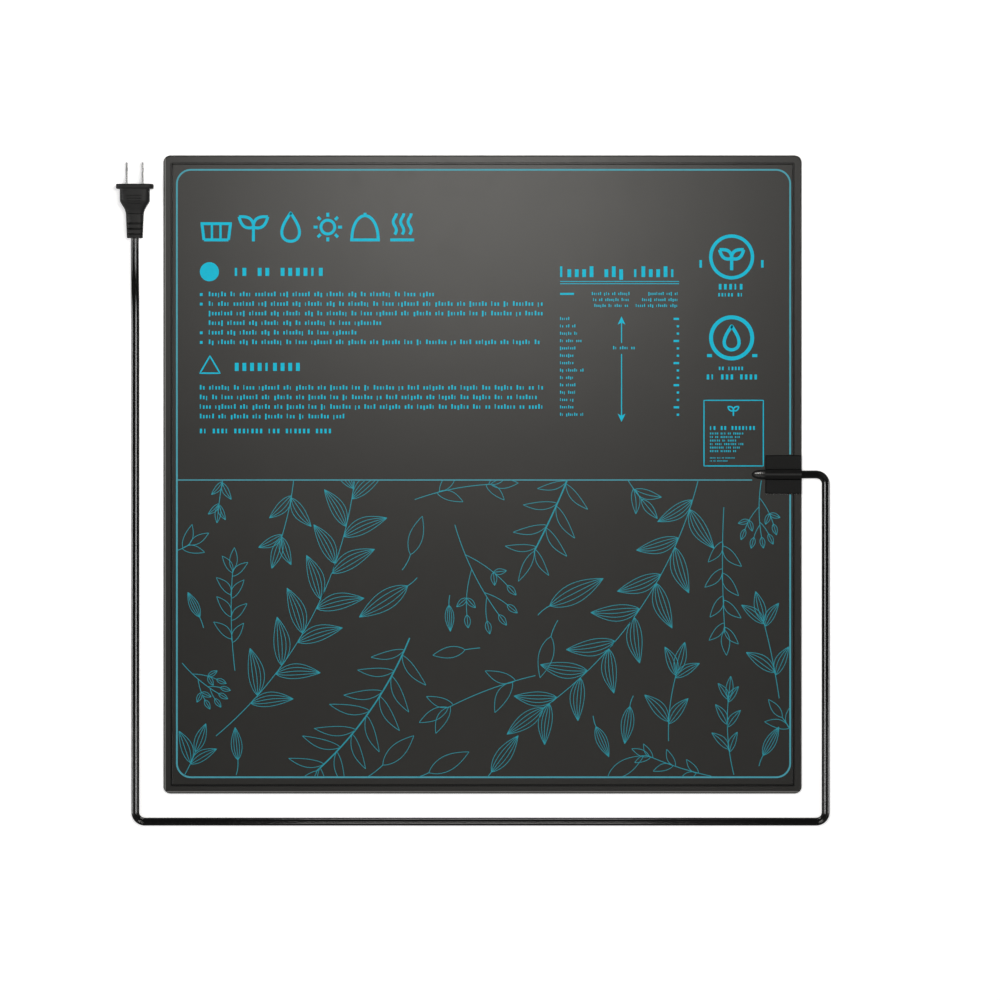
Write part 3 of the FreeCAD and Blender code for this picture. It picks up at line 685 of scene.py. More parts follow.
@dataclass
class FlatCord:
    """The flat two-core cord, laid round three sides of the pad."""

    width: float = 6.4
    thickness: float = 3.2
    web: float = 1.8
    length: float = 1317.5
    exit: tuple = (254.0, 0.0, 2.1)
    route: tuple = (
        (247.0, 0.0, 2.1), (263.6, 0.0, 2.1),
        (267.6, 0.0, 2.1), (271.1, -2.0, 2.0), (273.1, -5.5, 1.9), (273.1, -9.5, 1.9),
        (273.1, -266.8, 1.6), (273.1, -270.8, 1.6), (271.1, -274.3, 1.6), (267.6, -276.3, 1.6),
        (263.6, -276.3, 1.6), (-266.8, -276.3, 1.6), (-270.8, -276.3, 1.6),
        (-274.3, -274.3, 1.6), (-276.3, -270.8, 1.6), (-276.3, -266.8, 1.6),
        (-276.3, 100.0, 1.6), (-276.3, 120.0, 1.6), (-276.3, 140.0, 3.0),
        (-276.3, 160.0, 7.1), (-276.3, 179.5, 8.35), (-276.3, 198.5, 8.35),
    )

    def line(self) -> np.ndarray:
        """Points along the smooth line of the route, read from its spline, in millimetres."""
        curve = bpy.data.curves.new("cord_route", "CURVE")
        curve.dimensions = "3D"
        curve.resolution_u = 14
        spline = curve.splines.new("NURBS")
        spline.points.add(len(self.route) - 1)
        for point, place in zip(spline.points, self.route):
            point.co = (*place, 1.0)
        spline.order_u = 3
        spline.use_endpoint_u = True
        holder = added("cord_route", curve)
        bpy.context.view_layer.update()
        mesh = bpy.data.meshes.new_from_object(holder)
        points = np.zeros(len(mesh.vertices) * 3)
        mesh.vertices.foreach_get("co", points)
        bpy.data.objects.remove(holder)
        bpy.data.meshes.remove(mesh)
        bpy.data.curves.remove(curve)
        points = points.reshape(-1, 3)
        steps = np.linalg.norm(np.diff(points, axis=0), axis=1)
        return points[np.concatenate([[True], steps > 1e-4])]

    def section(self, around: int = 15) -> np.ndarray:
        """Outline of the cord's section: two round lobes joined by a thin web."""
        lobe = self.thickness / 2
        offset = self.width / 2 - lobe
        cut = math.asin(self.web / 2 / lobe)
        turn = np.linspace(-math.pi + cut, math.pi - cut, around)
        right = np.stack([offset + lobe * np.cos(turn), lobe * np.sin(turn)], axis=1)
        return np.concatenate([right, -right])

    def build(self, with_pieces: list) -> bpy.types.Object:
        """Carry the section along the line: at each point it stands square to the line, upright."""
        path = self.line()
        along = np.gradient(path, axis=0)
        along /= np.linalg.norm(along, axis=1)[:, None]
        side = np.cross(np.array([0.0, 0.0, 1.0]), along)
        side /= np.linalg.norm(side, axis=1)[:, None]
        up = np.cross(along, side)
        section = self.section()
        rings = (
            path[:, None, :]
            + section[None, :, 0, None] * side[:, None, :]
            + section[None, :, 1, None] * up[:, None, :]
        )
        piece = Piece("flat_cord")
        piece.sweep(rings)
        made = piece.build(Finish.CORD, "cord_black", ("power_cord",), smooth=50.0)
        [value * MM for value in self.exit]
        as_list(with_pieces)
        return made


# ---------------------------------------------------------------- pad


@dataclass
class Sheet:
    """One of the pad's two outer sheets: a square surface with rounded corners and a rolled rim.

    The surface is a grid.  The grid's outer lines follow `rim`, a list of (distance in from the
    edge, height); inside the last of them it is flat.
    """

    name: str
    rim: list
    under: list
    side: float = 508.0
    corner: float = 5.6
    cells: int = 40
    notch_left: float = 224.98
    notch_half: float = 15.42

    def lines(self, inset: np.ndarray) -> np.ndarray:
        """Grid lines across the sheet: the rim's own, with even ones between them."""
        half = self.side / 2
        edge = half - inset
        middle = np.linspace(-edge[-1], edge[-1], self.cells + 1)[1:-1]
        return np.concatenate([-edge, middle, edge[::-1]])

    def surface(self, profile: list) -> tuple[np.ndarray, int]:
        """Points of one face of the sheet.

        A point keeps the shell it lies on, which is its grid line nearest the edge.  Along a
        shell the corner is rounded by turning the last stretch of each side, as long as the
        radius, into an eighth of a circle.

        Args:
            profile: Distances in from the edge and heights, from the edge inwards.

        Returns:
            The points and how many lie in a row.
        """
        inset, height = np.asarray(profile, float).T
        across = self.lines(inset)
        count = len(across)
        shells = len(inset)
        index = np.minimum(np.arange(count), count - 1 - np.arange(count))
        shell = np.minimum(np.minimum(index[:, None], index[None, :]), shells - 1)
        x, y = np.meshgrid(across, across, indexing="ij")
        far = np.maximum(np.abs(x), np.abs(y))
        near = np.minimum(np.abs(x), np.abs(y))
        radius = np.clip(self.corner - (self.side / 2 - far) * 0.8, 0.6, None)
        turn = np.clip((near - (far - radius)) / radius, 0.0, 1.0) * math.pi / 4
        new_far = far - radius + radius * np.cos(turn)
        new_near = np.where(turn > 0, far - radius + radius * np.sin(turn), near)
        x_is_far = np.abs(x) >= np.abs(y)
        new_x = np.where(x_is_far, new_far, new_near) * np.sign(x)
        new_y = np.where(x_is_far, new_near, new_far) * np.sign(y)
        return np.stack([new_x, new_y, height[shell]], axis=-1).reshape(-1, 3), count

    def build(self, finish: Finish, slot: str, stands_for: str) -> bpy.types.Object:
        top, count = self.surface(self.rim)
        low, low_count = self.surface(self.under)
        faces = grid_faces(count, count)
        low_faces = grid_faces(low_count, low_count, start=len(top))[:, ::-1]
        piece = Piece(self.name)
        piece.add(np.concatenate([top, low]), np.concatenate([faces, low_faces]).tolist())
        made = piece.build(finish, slot, (stands_for,), smooth=28.0, merge=True)
        self.cut_notch(made)
        return made

    def cut_notch(self, made: bpy.types.Object) -> None:
        """Take the clamp's place out of the sheet with a box."""
        left, right = self.notch_left * MM, (self.side / 2 + 5) * MM
        half = self.notch_half * MM
        corners = [(x, y, z) for x in (left, right) for y in (-half, half) for z in (-0.01, 0.01)]
        sides = [(0, 1, 3, 2), (4, 6, 7, 5), (0, 4, 5, 1), (2, 3, 7, 6), (0, 2, 6, 4), (1, 5, 7, 3)]
        mesh = bpy.data.meshes.new("notch_box")
        mesh.from_pydata(corners, [], sides)
        box = added("notch_box", mesh)
        cut = made.modifiers.new("notch", "BOOLEAN")
        cut.operation = "DIFFERENCE"
        cut.solver = "EXACT"
        cut.object = box
        bpy.context.view_layer.update()
        graph = bpy.context.evaluated_depsgraph_get()
        result = bpy.data.meshes.new_from_object(made.evaluated_get(graph))
        made.modifiers.clear()
        old = made.data
        made.data = result
        result.name = self.name
        bpy.data.meshes.remove(old)
        bpy.data.objects.remove(box)
        bpy.data.meshes.remove(mesh)


def upper_sheet() -> Sheet:
    """The printed sheet: rounded rim, flat weld band, groove, then the raised field."""
    rim = [
        (0.0, 0.5), (0.0, 1.1), (0.0, 1.65), (0.07, 2.02), (0.26, 2.32), (0.55, 2.52),
        (0.95, 2.60), (1.4, 2.60), (3.4, 2.60), (5.2, 2.60), (5.82, 2.60), (5.94, 2.52),
        (6.02, 2.02), (6.14, 1.90), (6.9, 1.90), (7.02, 2.02), (7.10, 2.70), (7.20, 2.90),
        (7.42, 2.99), (7.9, 3.0), (9.0, 3.0),
    ]
    under = [(0.0, 0.5), (4.0, 0.5), (7.9, 0.5), (8.0, 0.6), (8.0, 2.3), (8.1, 2.4), (9.0, 2.4)]
    return Sheet("pad_upper_sheet", rim, under)


def lower_sheet() -> Sheet:
    """The plain sheet underneath, with its lower edge eased."""
    under = [(0.0, 0.5), (0.0, 0.2), (0.06, 0.06), (0.2, 0.0), (2.0, 0.0)]
    return Sheet("pad_lower_sheet", [(0.0, 0.5), (2.0, 0.5)], under)


# ---------------------------------------------------------------- print


class InkLayer:
    """Printed marks as very thin raised strips and plates on the pad."""

    level: float = 3.0
    sunk: float = 0.02
    proud: float = 0.030
    turn_step: float = 0.0015
    turns: int = 9

    def __init__(self, name: str) -> None:
        """Start an empty layer."""
        self.piece = Piece(name)
        self.drawn = 0

    def top(self) -> float:
        """Height of the next mark; heights take turns, so marks that cross share no face."""
        self.drawn += 1
        return self.level + self.proud + self.turn_step * (self.drawn % self.turns)

    def strip(self, points: np.ndarray, width: float, closed: bool = False) -> None:
        """Carry a flat rectangle along a line in the plane.

        Each point is offset to both sides along the line's normal by half the width.

        Args:
            points: The line, one point per row.
            width: Width of the strip.
            closed: Whether the last point joins the first.
        """
        points = np.asarray(points, float)
        if closed:
            along = np.roll(points, -1, axis=0) - np.roll(points, 1, axis=0)
        else:
            along = np.gradient(points, axis=0)
        along /= np.maximum(np.linalg.norm(along, axis=1), 1e-9)[:, None]
        normal = np.stack([-along[:, 1], along[:, 0]], axis=1) * width / 2
        left, right = points + normal, points - normal
        low, high = self.level - self.sunk, self.top()
        flat = [(left, low), (right, low), (right, high), (left, high)]
        rings = np.stack([self.lifted(edge, z) for edge, z in flat], axis=1)
        if closed:
            self.piece.torus(rings)
        else:
            self.piece.sweep(rings)

    @staticmethod
    def lifted(points: np.ndarray, height: float) -> np.ndarray:
        """Points of the plane at a height."""
        return np.column_stack([points, np.full(len(points), height)])

    def plate(self, outline: np.ndarray | list) -> None:
        """Add a filled shape from its outline."""
        heights = (self.level - self.sunk, self.top())
        self.piece.sweep(np.stack([self.lifted(outline, height) for height in heights]))

    def stroke(self, width: float, *points: tuple[float, float]) -> None:
        """Draw straight lines from point to point."""
        self.strip(np.array(points), width)

    def frame(self, width: float, corners: list, steps: int) -> None:
        """Draw a closed shape with straight sides, each in a number of steps."""
        start = np.array(corners)[:, None, :]
        along = np.linspace(0.0, 1.0, steps, endpoint=False)[None, :, None]
        edge = start + (np.roll(start, -1, axis=0) - start) * along
        self.strip(edge.reshape(-1, 2), width, closed=True)

    def bar(self, left: float, right: float, y: float, height: float) -> None:
        """Add a plain level bar."""
        self.stroke(height, (left, y), (right, y))

    def blocks(
        self, left: np.ndarray, right: np.ndarray, low: np.ndarray, high: np.ndarray
    ) -> None:
        """Add many level blocks at once.

        Each block is the box between its sides, the same eight corners and six faces moved
        along the list.

        Args:
            left: Left sides.
            right: Right sides.
            low: Lower sides.
            high: Upper sides.
        """
        sides = ((left, low), (right, low), (right, high), (left, high))
        corners = [
            self.lifted(np.stack([x, y], axis=1), height)
            for height in (self.level - self.sunk, self.top())
            for x, y in sides
        ]
        box = [[0, 3, 2, 1], [4, 5, 6, 7], [0, 1, 5, 4], [1, 2, 6, 5], [2, 3, 7, 6], [3, 0, 4, 7]]
        faces = np.array(box) + 8 * np.arange(len(left))[:, None, None]
        self.piece.add(np.stack(corners, axis=1), faces.reshape(-1, 4).tolist())

    def ring(self, x: float, y: float, radius: float, width: float) -> None:
        """Add a circle drawn as a line."""
        self.strip(self.circle(x, y, radius, 48), width, closed=True)

    def disc(self, x: float, y: float, radius: float) -> None:
        """Add a filled circle."""
        self.plate(self.circle(x, y, radius, 32))

    @staticmethod
    def circle(x: float, y: float, radius: float, points: int) -> np.ndarray:
        """Points evenly round a circle: the middle plus the radius by a turn's cosine and sine."""
        turn = np.linspace(0.0, 2 * math.pi, points, endpoint=False)
        return np.stack([x + radius * np.cos(turn), y + radius * np.sin(turn)], axis=1)

    def build(self, finish: Finish = Finish.PRINT) -> bpy.types.Object:
        """Write the layer as one piece."""
        return self.piece.build(finish, "sheet_grey", smooth=None)


def lens(
    base: np.ndarray,
    heading: float,
    length: float,
    half: float,
    factors: list,
    bow: float = 0.0,
    samples: int = 13,
) -> np.ndarray:
    """Lines of one leaf, all running from its stalk to its tip.

    A line's distance from the middle is its factor times the half width times the sine of a
    half turn along the leaf, a little fuller near the stalk; the middle itself bows sideways.

    Args:
        base: Where the leaf starts.
        heading: Its direction in radians.
        length: Its length.
        half: Half its width.
        factors: One number per line, -1 and 1 for the two edges.
        bow: How far the middle line bows sideways.
        samples: Points per line.

    Returns:
        An array of lines, points and coordinates.
    """
    u = np.linspace(0.0, 1.0, samples)
    swell = np.sin(math.pi * u**0.85) ** 0.92
    off = np.asarray(factors)[:, None] * half * swell[None, :] + bow * np.sin(math.pi * u)[None, :]
    ahead = np.broadcast_to(u[None, :] * length, off.shape)
    cos, sin = math.cos(heading), math.sin(heading)
    return np.stack([base[0] + ahead * cos - off * sin, base[1] + ahead * sin + off * cos], axis=-1)


def arc(
    base: np.ndarray | tuple, heading: float, length: float, bend: float, samples: int
) -> tuple[np.ndarray, np.ndarray]:
    """A stem: the heading turns evenly by `bend` along the length.

    Returns:
        Its points and its heading at each of them.
    """
    s = np.linspace(0.0, 1.0, samples)
    bend = bend if abs(bend) > 1e-3 else 1e-3
    angle = heading + bend * s
    x = base[0] + length * (np.sin(angle) - math.sin(heading)) / bend
    y = base[1] - length * (np.cos(angle) - math.cos(heading)) / bend
    return np.stack([x, y], axis=1), angle


LEAF_LINE = 0.46
STEM_LINE = 0.56
FERN_LINE = 1.10
BRANCH_LINE = 0.50
RULE_LINE = 0.85


def between(rows: np.ndarray, index: float) -> np.ndarray:
    """A row of an array at a number that need not be whole."""
    low = min(int(index), len(rows) - 2)
    return rows[low] + (rows[low + 1] - rows[low]) * (index - low)


class Leafing(Enum):
    """Kinds of sprig in the border print: line factors, leaf angle and leaf slimness."""

    VEINED = ((-1.0, -0.5, 0.0, 0.5, 1.0), 0.80, 0.165)
    RIBBED = ((-1.0, -0.36, 0.36, 1.0), 0.70, 0.170)
    OPEN = ((-1.0, 1.0), 0.68, 0.170)
    SPLIT = ((-1.0, 0.0, 1.0), 0.60, 0.165)
    FERN = ((-1.0, 1.0), 1.02, 0.115)


@dataclass
class Sprig:
    """One sprig: a bending stem with leaves in pairs and one at its tip."""

    x: float
    y: float
    heading: float
    length: float
    bend: float
    kind: Leafing
    pairs: int
    leaf: float
    bare: float = 0.18

    def lines(self) -> list[tuple[np.ndarray, float]]:
        """All its lines with their widths in millimetres."""
        factors, spread, slim = self.kind.value
        stem, angle = arc((self.x, self.y), math.radians(self.heading), self.length, self.bend, 34)
        thick = FERN_LINE if self.kind is Leafing.FERN else STEM_LINE
        drawn = [(stem, thick)]
        for order, step in enumerate(np.linspace(self.bare, 0.94, self.pairs)):
            for side in (-1.0, 1.0):
                along = min(0.99, step + (0.035 if side > 0 else 0.0))
                index = along * (len(stem) - 1)
                spot = between(stem, index)
                size = self.leaf * (0.78 + 0.30 * math.sin(math.pi * (0.15 + 0.75 * step)))
                size *= 1.0 + 0.06 * math.sin(7.0 * order + 2.0 * side)
                turn = between(angle, index) + side * (spread + 0.10 * math.sin(3.0 * order + side))
                leaf = lens(spot, turn, size, size * slim, factors, -side * size * 0.05)
                drawn += [(line, LEAF_LINE) for line in leaf]
        tip = lens(stem[-1], angle[-1], self.leaf, self.leaf * slim, factors)
        return drawn + [(line, LEAF_LINE) for line in tip]


@dataclass
class Twig:
    """A forked twig with small buds at its ends."""

    x: float
    y: float
    heading: float
    length: float
    leaf: float

    def lines(self) -> list[tuple[np.ndarray, float]]:
        """All its lines with their widths in millimetres."""
        stem, angle = arc((self.x, self.y), math.radians(self.heading), self.length, 0.35, 20)
        drawn = [(stem, STEM_LINE)]
        buds = [(stem[-1], angle[-1])]
        forks = ((0.35, 1, 0.52), (0.50, -1, 0.46), (0.74, 1, 0.26), (0.80, -1, 0.24))
        for step, side, reach in forks:
            index = int(step * (len(stem) - 1))
            away = angle[index] + 0.75 * side
            branch, turned = arc(stem[index], away, self.length * reach, -0.4 * side, 12)
            drawn.append((branch, BRANCH_LINE))
            buds.append((branch[-1], turned[-1]))
            if reach > 0.4:
                buds += [(branch[7], turned[7] - 0.8 * side), (branch[7], turned[7] + 0.8 * side)]
        for spot, turn in buds:
            bud = lens(spot, turn, self.leaf, self.leaf * 0.22, [-1.0, 0.0, 1.0], samples=9)
            drawn += [(line, LEAF_LINE) for line in bud]
        return drawn


@dataclass
class Border:
    """The printed border line, the divider and the leaf band inside its lower part."""

    left: float = -243.2
    right: float = 244.8
    top: float = 242.4
    bottom: float = -240.9
    corner: float = 11.2
    divider: float = -4.4
    divider_end: float = 214.5
    line: float = 1.35
    clamp_left: float = 223.8
    clamp_half: float = 16.0

    def outline(self) -> np.ndarray:
        """The rounded rectangle, from beside the clamp round to beside the clamp again."""
        left, right = self.left + self.corner, self.right - self.corner
        top, bottom = self.top - self.corner, self.bottom + self.corner
        centres = np.array([(right, top), (left, top), (left, bottom), (right, bottom)])
        turn = np.radians(np.arange(4)[:, None] * 90.0 + np.linspace(0.0, 90.0, 13))
        round_ = self.corner * np.stack([np.cos(turn), np.sin(turn)], axis=-1)
        arcs = (centres[:, None] + round_).reshape(-1, 2)
        first = np.array([[self.right, self.clamp_half]])
        last = np.array([[self.right, -self.clamp_half]])
        return np.concatenate([first, arcs, last])

    def inside(self, points: np.ndarray) -> np.ndarray:
        """Which points are in the leaf band: in the border, below the divider, off the clamp."""
        x, y = points[:, 0], points[:, 1]
        within = (x > self.left) & (x < self.right) & (y > self.bottom) & (y < self.divider)
        radius = self.corner
        for centre in (self.left + radius, self.right - radius):
            outer = (x < centre) if centre < 0 else (x > centre)
            low = y < self.bottom + radius
            beyond = np.hypot(x - centre, y - self.bottom - radius) > radius
            within &= ~(outer & low & beyond)
        return within & ~((x > self.clamp_left) & (np.abs(y) < self.clamp_half))

    def clipped(self, line: np.ndarray) -> list[np.ndarray]:
        """The stretches of a line that lie inside, cut where it crosses the edge."""
        fine = np.linspace(0, len(line) - 1, (len(line) - 1) * 6 + 1)
        whole = np.arange(len(line))
        dense = np.stack([np.interp(fine, whole, column) for column in line.T], axis=1)
        keep = self.inside(dense)
        if keep.all():
            return [line]
        edges = np.flatnonzero(np.diff(np.concatenate([[0], keep.astype(int), [0]])))
        return [dense[a:b:2] for a, b in edges.reshape(-1, 2) if b - a > 6]

    def sprigs(self) -> list:
        """The leaf band's sprigs, set out one by one."""
        veined, ribbed, open_, split, fern = (
            Leafing.VEINED, Leafing.RIBBED, Leafing.OPEN, Leafing.SPLIT, Leafing.FERN,
        )
        return [
            Sprig(-212.0, -208.0, 40.0, 236.0, 0.75, veined, 7, 36.0, 0.16),
            Sprig(172.0, -3.0, -104.0, 225.0, -0.70, veined, 7, 36.0, 0.08),
            Sprig(-58.0, -130.0, -112.0, 130.0, -0.45, fern, 7, 30.0, 0.08),
            Sprig(68.0, -3.0, -112.0, 64.0, -0.10, fern, 4, 27.0, 0.04),
            Sprig(-197.0, -156.0, 97.0, 80.0, -0.20, open_, 4, 18.0, 0.28),
            Sprig(192.0, -26.0, -93.0, 98.0, 0.12, open_, 4, 20.0, 0.28),
            Sprig(148.0, -212.0, 92.0, 54.0, -0.30, ribbed, 2, 26.0, 0.25),
            Sprig(200.0, -239.0, 104.0, 62.0, -0.35, split, 3, 17.0, 0.30),
            Sprig(42.0, -160.0, -167.0, 74.0, 0.25, open_, 2, 26.0, 0.22),
            Sprig(236.0, -178.0, 98.0, 62.0, 0.12, ribbed, 2, 25.0, 0.30),
            Sprig(182.0, -240.0, 168.0, 52.0, -0.20, open_, 3, 15.0, 0.20),
            Sprig(-206.0, -1.0, -102.0, 24.0, 0.10, split, 2, 14.0, 0.20),
            Sprig(-150.0, -2.0, -96.0, 50.0, -0.20, ribbed, 2, 25.0, 0.30),
            Sprig(-54.0, -20.0, 20.0, 62.0, -0.30, open_, 2, 22.0, 0.30),
            Twig(-22.0, -40.0, -74.0, 80.0, 10.5),
            Twig(-239.0, -150.0, -50.0, 38.0, 8.5),
            Twig(222.0, -4.0, -100.0, 46.0, 9.0),
            Sprig(-52.0, -82.0, -130.0, 10.0, -0.3, veined, 0, 46.0),
            Sprig(44.0, -112.0, 50.0, 12.0, -0.4, veined, 0, 48.0),
            Sprig(-64.0, -76.0, 50.0, 14.0, 0.4, open_, 0, 32.0),
            Sprig(-26.0, -96.0, -104.0, 8.0, 0.3, veined, 0, 21.0),
            Sprig(60.0, -116.0, -122.0, 14.0, 0.3, open_, 0, 34.0),
            Sprig(-2.0, -138.0, 184.0, 12.0, 0.1, open_, 0, 26.0),
            Sprig(120.0, -176.0, -118.0, 9.0, 0.35, veined, 0, 30.0),
            Sprig(88.0, -192.0, -84.0, 9.0, 0.3, veined, 0, 26.0),
            Sprig(220.0, -232.0, 78.0, 9.0, -0.3, veined, 0, 26.0),
            Sprig(-222.0, -122.0, 104.0, 9.0, 0.2, veined, 0, 22.0),
            Sprig(-196.0, -239.0, 72.0, 12.0, 0.4, veined, 0, 26.0),
            Sprig(-92.0, -241.0, 32.0, 16.0, 0.2, open_, 0, 34.0),
            Sprig(-52.0, -241.0, 16.0, 10.0, 0.2, open_, 0, 36.0),
            Sprig(2.0, -243.0, 48.0, 8.0, 0.1, veined, 0, 36.0),
            Sprig(94.0, -244.0, 20.0, 6.0, 0.2, open_, 0, 34.0),
            Sprig(-240.0, -244.0, 58.0, 26.0, 0.2, ribbed, 1, 24.0, 0.60),
            Sprig(250.0, -212.0, 116.0, 22.0, 0.2, open_, 1, 18.0, 0.50),
            Sprig(-248.0, -62.0, 14.0, 16.0, 0.3, open_, 1, 18.0, 0.60),
            Sprig(112.0, 2.0, -62.0, 26.0, 0.2, split, 1, 20.0, 0.60),
        ]

    def build(self) -> None:
        """Draw the border and divider in one layer and the leaves in two."""
        border = InkLayer("print_border")
        border.strip(self.outline(), self.line)
        border.bar(self.left, self.divider_end, self.divider, RULE_LINE)
        border.build(Finish.OUTLINE)
        halves = {True: InkLayer("print_leaves_left"), False: InkLayer("print_leaves_right")}
        for sprig in self.sprigs():
            layer = halves[sprig.x < 0]
            for line, width in sprig.lines():
                for stretch in self.clipped(line):
                    layer.strip(stretch, width)
        for layer in halves.values():
            layer.build(Finish.LEAVES)


@dataclass
class Panel:
    """The upper panel's print: plain icons, plain blocks and a simple scale, with no words."""

    left: float = -224.9
    indent: float = -217.8
    heading_top: float = 208.2
    heading_low: float = 185.5
    table_left: float = 61.7
    table_right: float = 156.4
    mark_x: float = 198.2

    def words(
        self,
        ink: InkLayer,
        left: float,
        right: float,
        y: float,
        height: float,
        beat: int,
        even: bool = False,
    ) -> None:
        """Fill a line with word-like groups of small plain blocks, which spell nothing.

        Block i of the line stands `pitch` after the one before; every few blocks one is left
        out.  A block is a little taller or deeper than the rest by a fixed rhythm.

        Args:
            ink: The layer to draw on.
            left: Where the line starts.
            right: Where it ends.
            y: Its middle.
            height: Height of the shortest blocks.
            beat: Changes the rhythm from line to line.
            even: Whether all the blocks are equally tall.
        """
        pitch = height * 0.95
        index = np.arange(int((right - left) / pitch + 0.5)) + beat * 7
        gaps = np.array([5, 9, 12, 20, 23, 28, 36, 40, 47, 51])
        shown = ~np.isin(index % 53, gaps)
        shown[:2] = shown[-2:] = True
        index, start = index[shown], left + pitch * np.flatnonzero(shown)
        above = np.where(np.isin(index % 7, [0, 4]), 0.38, 0.0) * height
        below = np.where(index % 11 == 6, 0.34, 0.0) * height
        if even:
            above, below = above * 0.0, below * 0.0
        wide = pitch * np.where(index % 5 == 2, 0.30, 0.50)
        ink.blocks(start, start + wide, y - height / 2 - below, y + height / 2 + above)

    def sprout(self, ink: InkLayer, x: float, y: float, size: float, width: float) -> None:
        """A stalk with two leaves."""
        ink.stroke(width, (x, y), (x, y + size * 0.30), (x, y + size * 0.58))
        spot = np.array([x, y + size * 0.50])
        for turn in (0.62, math.pi - 0.62):
            for line in lens(spot, turn, size * 0.62, size * 0.17, [-1.0, 1.0]):
                ink.strip(line, width)

    def drop(self, ink: InkLayer, x: float, y: float, size: float, width: float) -> None:
        """A drop outline: a circle drawn out to a point."""
        turn = np.linspace(0.0, 2 * math.pi, 40, endpoint=False)
        wide = np.sin(turn) * np.sin(turn / 2) ** 1.2
        outline = np.stack([x + size * 0.42 * wide, y + size * (0.5 + 0.5 * np.cos(turn))], axis=1)
        ink.strip(outline, width, closed=True)

    def sun(self, ink: InkLayer, x: float, y: float, size: float, width: float) -> None:
        """A ring with rays."""
        middle = y + size / 2
        ink.ring(x, middle, size * 0.24, width)
        for turn in np.linspace(0.0, 2 * math.pi, 8, endpoint=False):
            way = np.array([math.cos(turn), math.sin(turn)])
            ink.strip(np.array([[x, middle]]) + way * np.array([[0.36], [0.50]]) * size, width)

    def warmth(self, ink: InkLayer, x: float, y: float, size: float, width: float) -> None:
        """Three rising waves over a bar: a sine drawn upwards."""
        rise = np.linspace(0.0, 1.0, 22)
        for shift in (-0.26, 0.0, 0.26):
            wave = x + size * (shift + 0.055 * np.sin(rise * 2 * math.pi * 1.25))
            ink.strip(np.stack([wave, y + size * (0.24 + 0.74 * rise)], axis=1), width)
        ink.bar(x - size * 0.42, x + size * 0.42, y + width / 2, width)

    def tray(self, ink: InkLayer, x: float, y: float, size: float, width: float) -> None:
        """A seed tray in outline with three cells."""
        half, low, high = size * 0.50, y + width / 2, y + size * 0.62
        foot = half * 0.86
        corners = [(x - half, high), (x - foot, low), (x + foot, low), (x + half, high)]
        for side in zip(corners, corners[1:]):
            ink.stroke(width, *side)
        for shift in (-0.30, 0.30):
            ink.stroke(width * 0.8, (x + half * shift, low), (x + half * shift, high))
        ink.bar(x - half * 1.1, x + half * 1.1, high, width)

    def bell(self, ink: InkLayer, x: float, y: float, size: float, width: float) -> None:
        """A plain dome cover: half an ellipse on a bar."""
        turn = np.linspace(0.0, math.pi, 26)
        rise = 0.10 + 0.80 * np.sin(turn)
        ink.strip(np.stack([x + size * 0.46 * np.cos(turn), y + size * rise], axis=1), width)
        ink.bar(x - size * 0.52, x + size * 0.52, y + width / 2, width)
        ink.stroke(width, (x, y + size * 0.90), (x, y + size))

    def heading(self, ink: InkLayer) -> None:
        """A row of plain garden icons where a heading would be."""
        size = self.heading_top - self.heading_low
        low = self.heading_low
        drawers = [self.tray, self.sprout, self.drop, self.sun, self.bell, self.warmth]
        for index, drawer in enumerate(drawers):
            drawer(ink, self.left + 13.0 + index * 29.6, low, size, 2.3)

    def notes(self, ink: InkLayer) -> None:
        """Two groups of lines of blocks, each under an icon and a taller line."""
        ink.disc(self.left + 7.6, 161.3, 7.6)
        self.words(ink, -197.1, -121.4, 161.2, 6.4, 1, True)
        ends = [-37.8, 48.2, 49.8, -79.2, -99.9, 47.4]
        numbered = (0, 1, 4, 5)
        for index, (y, right) in enumerate(zip(np.linspace(143.2, 105.1, 6), ends)):
            if index in numbered:
                ink.bar(self.left, self.left + 2.2, y, 2.2)
            self.words(ink, self.indent, right, y, 2.6, index + 2)
        ink.frame(1.2, [(-216.9, 94.3), (-224.9, 80.6), (-208.9, 80.6)], 8)
        self.words(ink, -197.1, -140.5, 85.6, 6.4, 4, True)
        ends = [48.2, 43.4, 48.2, -110.0]
        for index, (y, right) in enumerate(zip(np.linspace(68.9, 46.0, 4), ends)):
            self.words(ink, self.left, right, y, 2.6, index + 9)
        self.words(ink, self.left, -118.2, 34.6, 3.6, 3, True)

    def table(self, ink: InkLayer) -> None:
        """A small table: a title of blocks, two rules, short rows and a double arrow."""
        self.words(ink, self.table_left, 155.6, 160.2, 6.2, 6)
        for y in (153.6, 151.8):
            ink.bar(self.table_left, self.table_right, y, 0.55)
        for index, y in enumerate((143.7, 138.9, 134.2)):
            if index == 0:
                ink.bar(61.7, 72.8, y, 1.6)
            self.words(ink, 87.0 + index, 118.0 - index, y, 1.7, index)
            self.words(ink, 132.0 - index * 5, self.table_right, y, 1.7, index + 4)
        widths = [8.0, 13.0, 14.5, 18.5, 13.0, 11.0, 11.5, 19.0, 12.0, 13.5, 13.0, 12.0, 11.5, 19.5]
        for index, (y, width) in enumerate(zip(np.linspace(123.8, 47.6, 14), widths)):
            self.words(ink, self.table_left, self.table_left + width, y, 1.7, index)
            ink.bar(self.table_right - (4.4 if index % 3 == 0 else 1.9), self.table_right, y, 1.7)
        x = 110.6
        for y, far in ((125.8, 104.7), (41.8, 95.9)):
            sign = 1.0 if y > far else -1.0
            ink.stroke(0.8, (x, far), (x, y - 4.0 * sign))
            barb, notch = y - 6.6 * sign, y - 4.9 * sign
            ink.plate([(x, y), (x - 3.1, barb), (x, notch), (x + 3.1, barb)])
        self.words(ink, 103.9, 122.4, 100.6, 1.9, 3)

